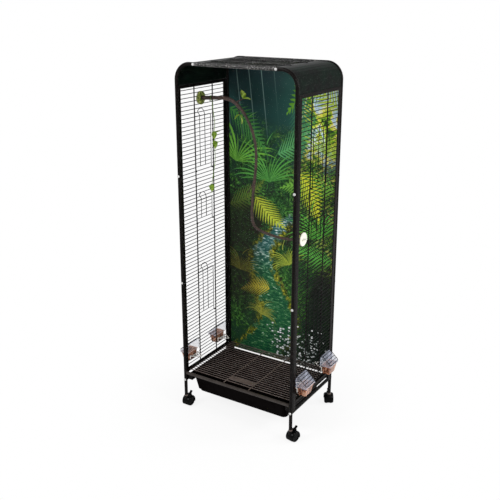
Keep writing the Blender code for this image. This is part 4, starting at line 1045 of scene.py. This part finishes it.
def fixings():
    """Moss-covered flange inside each wall and a winged clamp disc outside."""
    r, t = FLANGE_R, FLANGE_T
    flange = ((BORE_R, 0.0), (r * 0.55, -0.0002), (r - 0.0020, 0.0006), (r, 0.0022),
              (r, t - 0.0014), (r - 0.0012, t), (BORE_R, t))
    t = CLAMP_T
    disc = ((BORE_R, 0.0), (r, 0.0), (r, t - 0.0014), (r - 0.0014, t), (r * 0.62, t - 0.0004),
            (r * 0.50, t - 0.0016), (BORE_R, t - 0.0016))
    inside = PLATE_X - WIRE_R - GAP - FLANGE_T
    face = PLATE_X + WIRE_R + GAP
    for name, side, (_, y, z) in (("left", -1, BRANCH_POINTS[0]), ("right", 1, BRANCH_POINTS[-1])):
        bm = bmesh.new()
        axis_rings(bm, flange, (side * inside, y, z), side, 56, 0.0011)
        node = f"branch_{name}_flange"
        piece(f"{node}_disc", bm, MOSS, "cage", (node,), 50.0)

        bm = bmesh.new()
        axis_rings(bm, disc, (side * face, y, z), side, 56, 0.0)
        for s in (-1, 1):
            add_plate(bm, side, face + 0.0008, face + 0.0140, (y + s * 0.0040, y + s * 0.0130),
                      (z - 0.00125, z + 0.00125))
        node = f"branch_{name}_clamp"
        bevel(piece(f"{node}_disc", bm, CREAM, "cage", (node,)), 0.0005)


def axis_rings(bm, profile, center, side, sides, lump):
    """A disc with a bore along X, its rim made uneven by noise."""
    rings = []
    for radius, along in profile:
        ring = []
        for i in range(sides):
            a = 2 * math.pi * i / sides
            spot = Vector((math.cos(a), math.sin(a), along * 90))
            r = radius + lump * noise.noise(spot * 2.6) * (radius > 0.01)
            ring.append((center[0] + side * along, center[1] + r * math.cos(a),
                         center[2] + r * math.sin(a)))
        rings.append(ring)
    add_loft(bm, rings, closed=True)


# --- castors ---

def castor_wheels(bm):
    """Two wheels with a soft tread and a dished, ribbed face, on one axle."""
    inner = WEB + GAP
    outer = inner + WHEEL_W
    face = ((0.0030, outer - 0.0030), (0.0060, outer - 0.0028), (0.0068, outer - 0.0042),
            (0.0150, outer - 0.0042), (0.0165, outer - 0.0020), (0.0205, outer - 0.0006),
            (0.0212, outer - 0.0014), (0.0218, outer - 0.0014), (0.0230, outer - 0.0024),
            (0.0240, outer - 0.0040), (0.0247, outer - 0.0064), (WHEEL_R, outer - 0.0090),
            (WHEEL_R, inner + 0.0070), (0.0246, inner + 0.0042), (0.0236, inner + 0.0018),
            (0.0218, inner), (AXLE_R, inner))
    add_turned(bm, mirrored([(r, -y) for r, y in face]), (TRAIL, 0, WHEEL_R), (0, 1, 0), 48)


def castor_lever(bm):
    """Brake pedal: a barrel on its pivot and a tongue turned up at the end."""
    half = LEVER_W / 2
    add_turned(bm, ((AXLE_R, -half), (AXLE_R, half)), PIVOT, (0, 1, 0), 24)
    tilt = math.radians(30.0)
    along = Vector((math.cos(tilt), 0, math.sin(tilt)))
    up = Vector((-math.sin(tilt), 0, math.cos(tilt)))
    outline = ((0.0, -0.0012), (0.0, 0.0018), (0.012, 0.0020), (0.018, 0.0040), (0.020, 0.0038),
               (0.020, 0.0020), (0.013, -0.0010))
    add_loft(bm, [[PIVOT + along * a + up * b + Vector((0, y, 0)) for a, b in outline]
                  for y in (-half, half)])


def castor_hood(bm):
    """Hood cut from a drum over both wheels, with stem, collar and lugs for the brake."""
    half = CASTOR_HALF
    turns = [(math.cos(a), math.sin(a)) for a in (math.radians(-24.0 + 7.6 * k) for k in range(31))]
    outline = (*mirrored(((HOOD_IN - 0.004, -half), (HOOD_OUT - 0.0060, -half),
                          (HOOD_OUT - 0.0034, 0.0012 - half), (HOOD_OUT - 0.0013, 0.0036 - half),
                          (HOOD_OUT, 0.0080 - half))),
               *mirrored(((HOOD_IN - 0.004, half - 0.001), (HOOD_IN, half - 0.004))))
    add_loft(bm, [[(TRAIL + r * u, y, WHEEL_R + r * w) for r, y in outline] for u, w in turns])
    rim = HOOD_IN * 1.02
    add_loft(bm, [[(TRAIL + rim * u, y, WHEEL_R + rim * w) for u, w in turns] for y in (-WEB, WEB)])
    top = LEG_BOTTOM
    add_turned(bm, ((COLLAR_R - 0.0012, 0.040), (COLLAR_R - 0.0012, top - 0.008),
                    (COLLAR_R - 0.0002, top - 0.0068), (COLLAR_R, top - 0.006),
                    (COLLAR_R, top - 0.0015), (COLLAR_R - 0.0008, top - GAP),
                    (0.006, top - GAP), (0.006, top + 0.02)), (0, 0, 0), (0, 0, 1), 32)
    for s in (-1, 1):
        add_box(bm, (PIVOT.x - 0.005, PIVOT.x + 0.004),
                (s * (LEVER_W / 2 + GAP), s * (LEVER_W / 2 + 0.004)),
                (PIVOT.z - 0.008, PIVOT.z + 0.003))


def castors():
    # build, form, body, node, material, slot, sharp angle, bevel
    forms = ((castor_wheels, "wheels", "wheels", "wheels", TYRE, "castor_tyre", 30.0, None),
             (castor_lever, "lever", "lever", "lever", CASTOR, "castor_plastic", 35.0, (0.0010, 3)),
             (castor_hood, "hood", "swivel", "body", CASTOR, "castor_plastic", 35.0, (0.0007, 2)))
    for name, sx, sy, heading in CASTORS:
        spin = Matrix.Translation((sx * PX, sy * PY, 0)) @ Matrix.Rotation(math.radians(heading), 4, "Z")
        key = f"{name}_castor"
        for build, form, body, node, mat, slot, angle, edge in forms:
            bm = bmesh.new()
            build(bm)
            bm.transform(spin)
            made = piece(f"{key}_{form}_form", bm, mat, f"{key}_{body}", (f"{key}_{node}",), angle)
            if edge:
                bevel(made, *edge)


# --- studio ---

def aimed(name, data, spot, direction):
    obj = linked(name, data)
    obj.location = spot
    obj.rotation_euler = direction.to_track_quat("-Z", "Y").to_euler()
    return obj


def studio():
    """The photo's camera, a soft world, three lamps and a pale floor that keeps the shadow."""
    scene = bpy.context.scene
    scene.view_settings.view_transform = "Standard"
    camera = bpy.data.cameras.new("camera")
    camera.lens = LENS
    camera.sensor_width = 36.0
    camera.clip_end = 500.0
    scene.camera = aimed("camera", camera, CAMERA, LOOK)
    for name, spot, size, power in LAMPS:
        lamp = bpy.data.lights.new(name, "AREA")
        lamp.shape = "DISK"
        lamp.size = size
        lamp.energy = power
        aimed(name, lamp, spot, LAMP_AIM - Vector(spot))

    world = bpy.data.worlds.new("studio")
    world.use_nodes = True
    scene.world = world
    t = Tree(world.node_tree)
    back = world.node_tree.nodes["Background"]
    t.feed(back.inputs["Color"], WHITE_LIGHT)
    t.feed(back.inputs["Strength"], t.line(t.looking(0.25), 1.0 - WORLD_DIM, WORLD_DIM))

    mat, t = material("floor")
    p = t.place()
    pale = t.ramp(t.noise(p, 3.0, 2.0), ((0.3, (0.96, 0.96, 0.96)), (0.7, (0.98, 0.98, 0.98))))
    t.surface({"Base Color": pale, "Roughness": 0.9, "Specular IOR Level": 0.0})
    far = t.node("VectorMath", {0: p}, operation="LENGTH").outputs["Value"]
    fade = t.mul(t.line(t.step(far, 0.2, 0.9), 0.13, 0.87), t.looking(0.3))
    glow = t.node("Emission", {"Color": WHITE_LIGHT, "Strength": 1.0})
    nodes = mat.node_tree.nodes
    mix = t.node("MixShader", {0: fade, 1: nodes["Principled BSDF"].outputs[0], 2: glow.outputs[0]})
    t.feed(nodes["Material Output"].inputs["Surface"], mix.outputs[0])
    bm = bmesh.new()
    add_box(bm, (-FLOOR_HALF, FLOOR_HALF), (-FLOOR_HALF, FLOOR_HALF), (-0.02, 0.0))
    mesh_object("floor", bm, mat)


def paint(mat, *names):
    for name in names:
        data = NODES[name].data
        data.materials.clear()
        data.materials.append(mat)


GROUPS = {"fern": group("fern", fern), "tuft": group("tuft", tuft)}
HAMMERED = hammered("hammered_black", (0.0022, 0.0016, 0.0015), (0.006, 0.0045, 0.004),
                    (0.15, 0.13, 0.12), 230.0, 0.42, 0.22, 0.05)
# Black sheet whose ground turns dark green in patches: a painted green sheen.
SHEET_SHEEN = hammered("sheet_black_painted_sheen", (0.0008, 0.0010, 0.0009), (0.0008, 0.008, 0.004), (0.065, 0.072, 0.066),
                 180.0, 0.40, 0.32, 0.04)
WIRE_BLACK = hammered("wire_black", (0.0015, 0.0015, 0.0015), (0.003, 0.003, 0.003),
                      (0.03, 0.03, 0.03), 500.0, 0.40, 0.18, 0.07)
# The black coat again, with far paler specks on the roof grille: painted sheen.
ROOF_SHEEN = hammered("roof_black_painted_sheen", (0.002, 0.002, 0.002), (0.004, 0.004, 0.004), (0.40, 0.39, 0.38),
                190.0, 0.40, 0.38, 0.14)
# The black coat again, lighter and with still paler specks on the roof tubes: painted sheen.
HOOP_SHEEN = hammered("hoop_black_painted_sheen", (0.010, 0.010, 0.010), (0.022, 0.021, 0.020), (0.62, 0.60, 0.58),
                200.0, 0.40, 0.44, 0.20)
RAIL = hammered("rail_brown", (0.030, 0.024, 0.021), (0.055, 0.046, 0.041), (0.20, 0.17, 0.15),
                300.0, 0.40, 0.26, 0.10)
GRATE = hammered("grate_brown", (0.085, 0.063, 0.054), (0.155, 0.118, 0.104), (0.28, 0.23, 0.21),
                 400.0, 0.36, 0.30, 0.16)
SILVER = hammered("screw_steel", (0.52, 0.52, 0.51), (0.66, 0.66, 0.65), (0.85, 0.85, 0.85), 900.0,
                  0.34, 0.20, 0.4)
WHITE = plastic("white_plastic", (0.80, 0.78, 0.74), 0.4)
CREAM = plastic("cream_plastic", (0.80, 0.79, 0.70), 0.42)
AMBER = cup_material()
HOOD = clear("hood_plastic", (0.62, 0.66, 0.80), 0.19, 0.75, 0.22, 60.0, 0.00004)
PANEL = clear("panel_plastic", (0.05, 0.06, 0.06), 0.003, 0.14, 0.03)
TRAY = plastic("tray_plastic", (0.0016, 0.0008, 0.0008), 0.50, 800.0, 0.00003, gloss=0.01)
CASTOR = plastic("castor_plastic", (0.0010, 0.0010, 0.0011), 0.28, 900.0, gloss=0.08)
TYRE = plastic("tyre_rubber", (0.0012, 0.0012, 0.0014), 0.42, 700.0, 0.00010, gloss=0.08)
BARK = bark_material()
LEAF = leaf_material("leaf_green", (0.10, 0.22, 0.010), (0.26, 0.42, 0.020), (0.50, 0.62, 0.08))
VINE_LEAF = leaf_material("vine_green", (0.07, 0.16, 0.010), (0.23, 0.42, 0.015), (0.42, 0.58, 0.06))
MOSS = moss_material()
JUNGLE = jungle_material()

paint(RAIL, "front_bottom_rail")
paint(HAMMERED, "left_tray_runner", "right_tray_runner")
paint(ROOF_SHEEN, "roof_grille")
paint(SHEET_SHEEN, "left_corner_cover", "right_corner_cover")
paint(PANEL, "front_panel")
paint(JUNGLE, "back_panel")
paint(TRAY, "drop_tray")
for a in SIDES:
    for b in PLACES:
        paint(HOOD, f"{a}_{b}_feeder_hood")
        paint(AMBER, f"{a}_{b}_feeder_cup")

posts()
roof_tubes()
screws()
side_walls()
doors()
feeder_wires()
floor_wires()
branch()
leaves()
fixings()
castors()
studio()
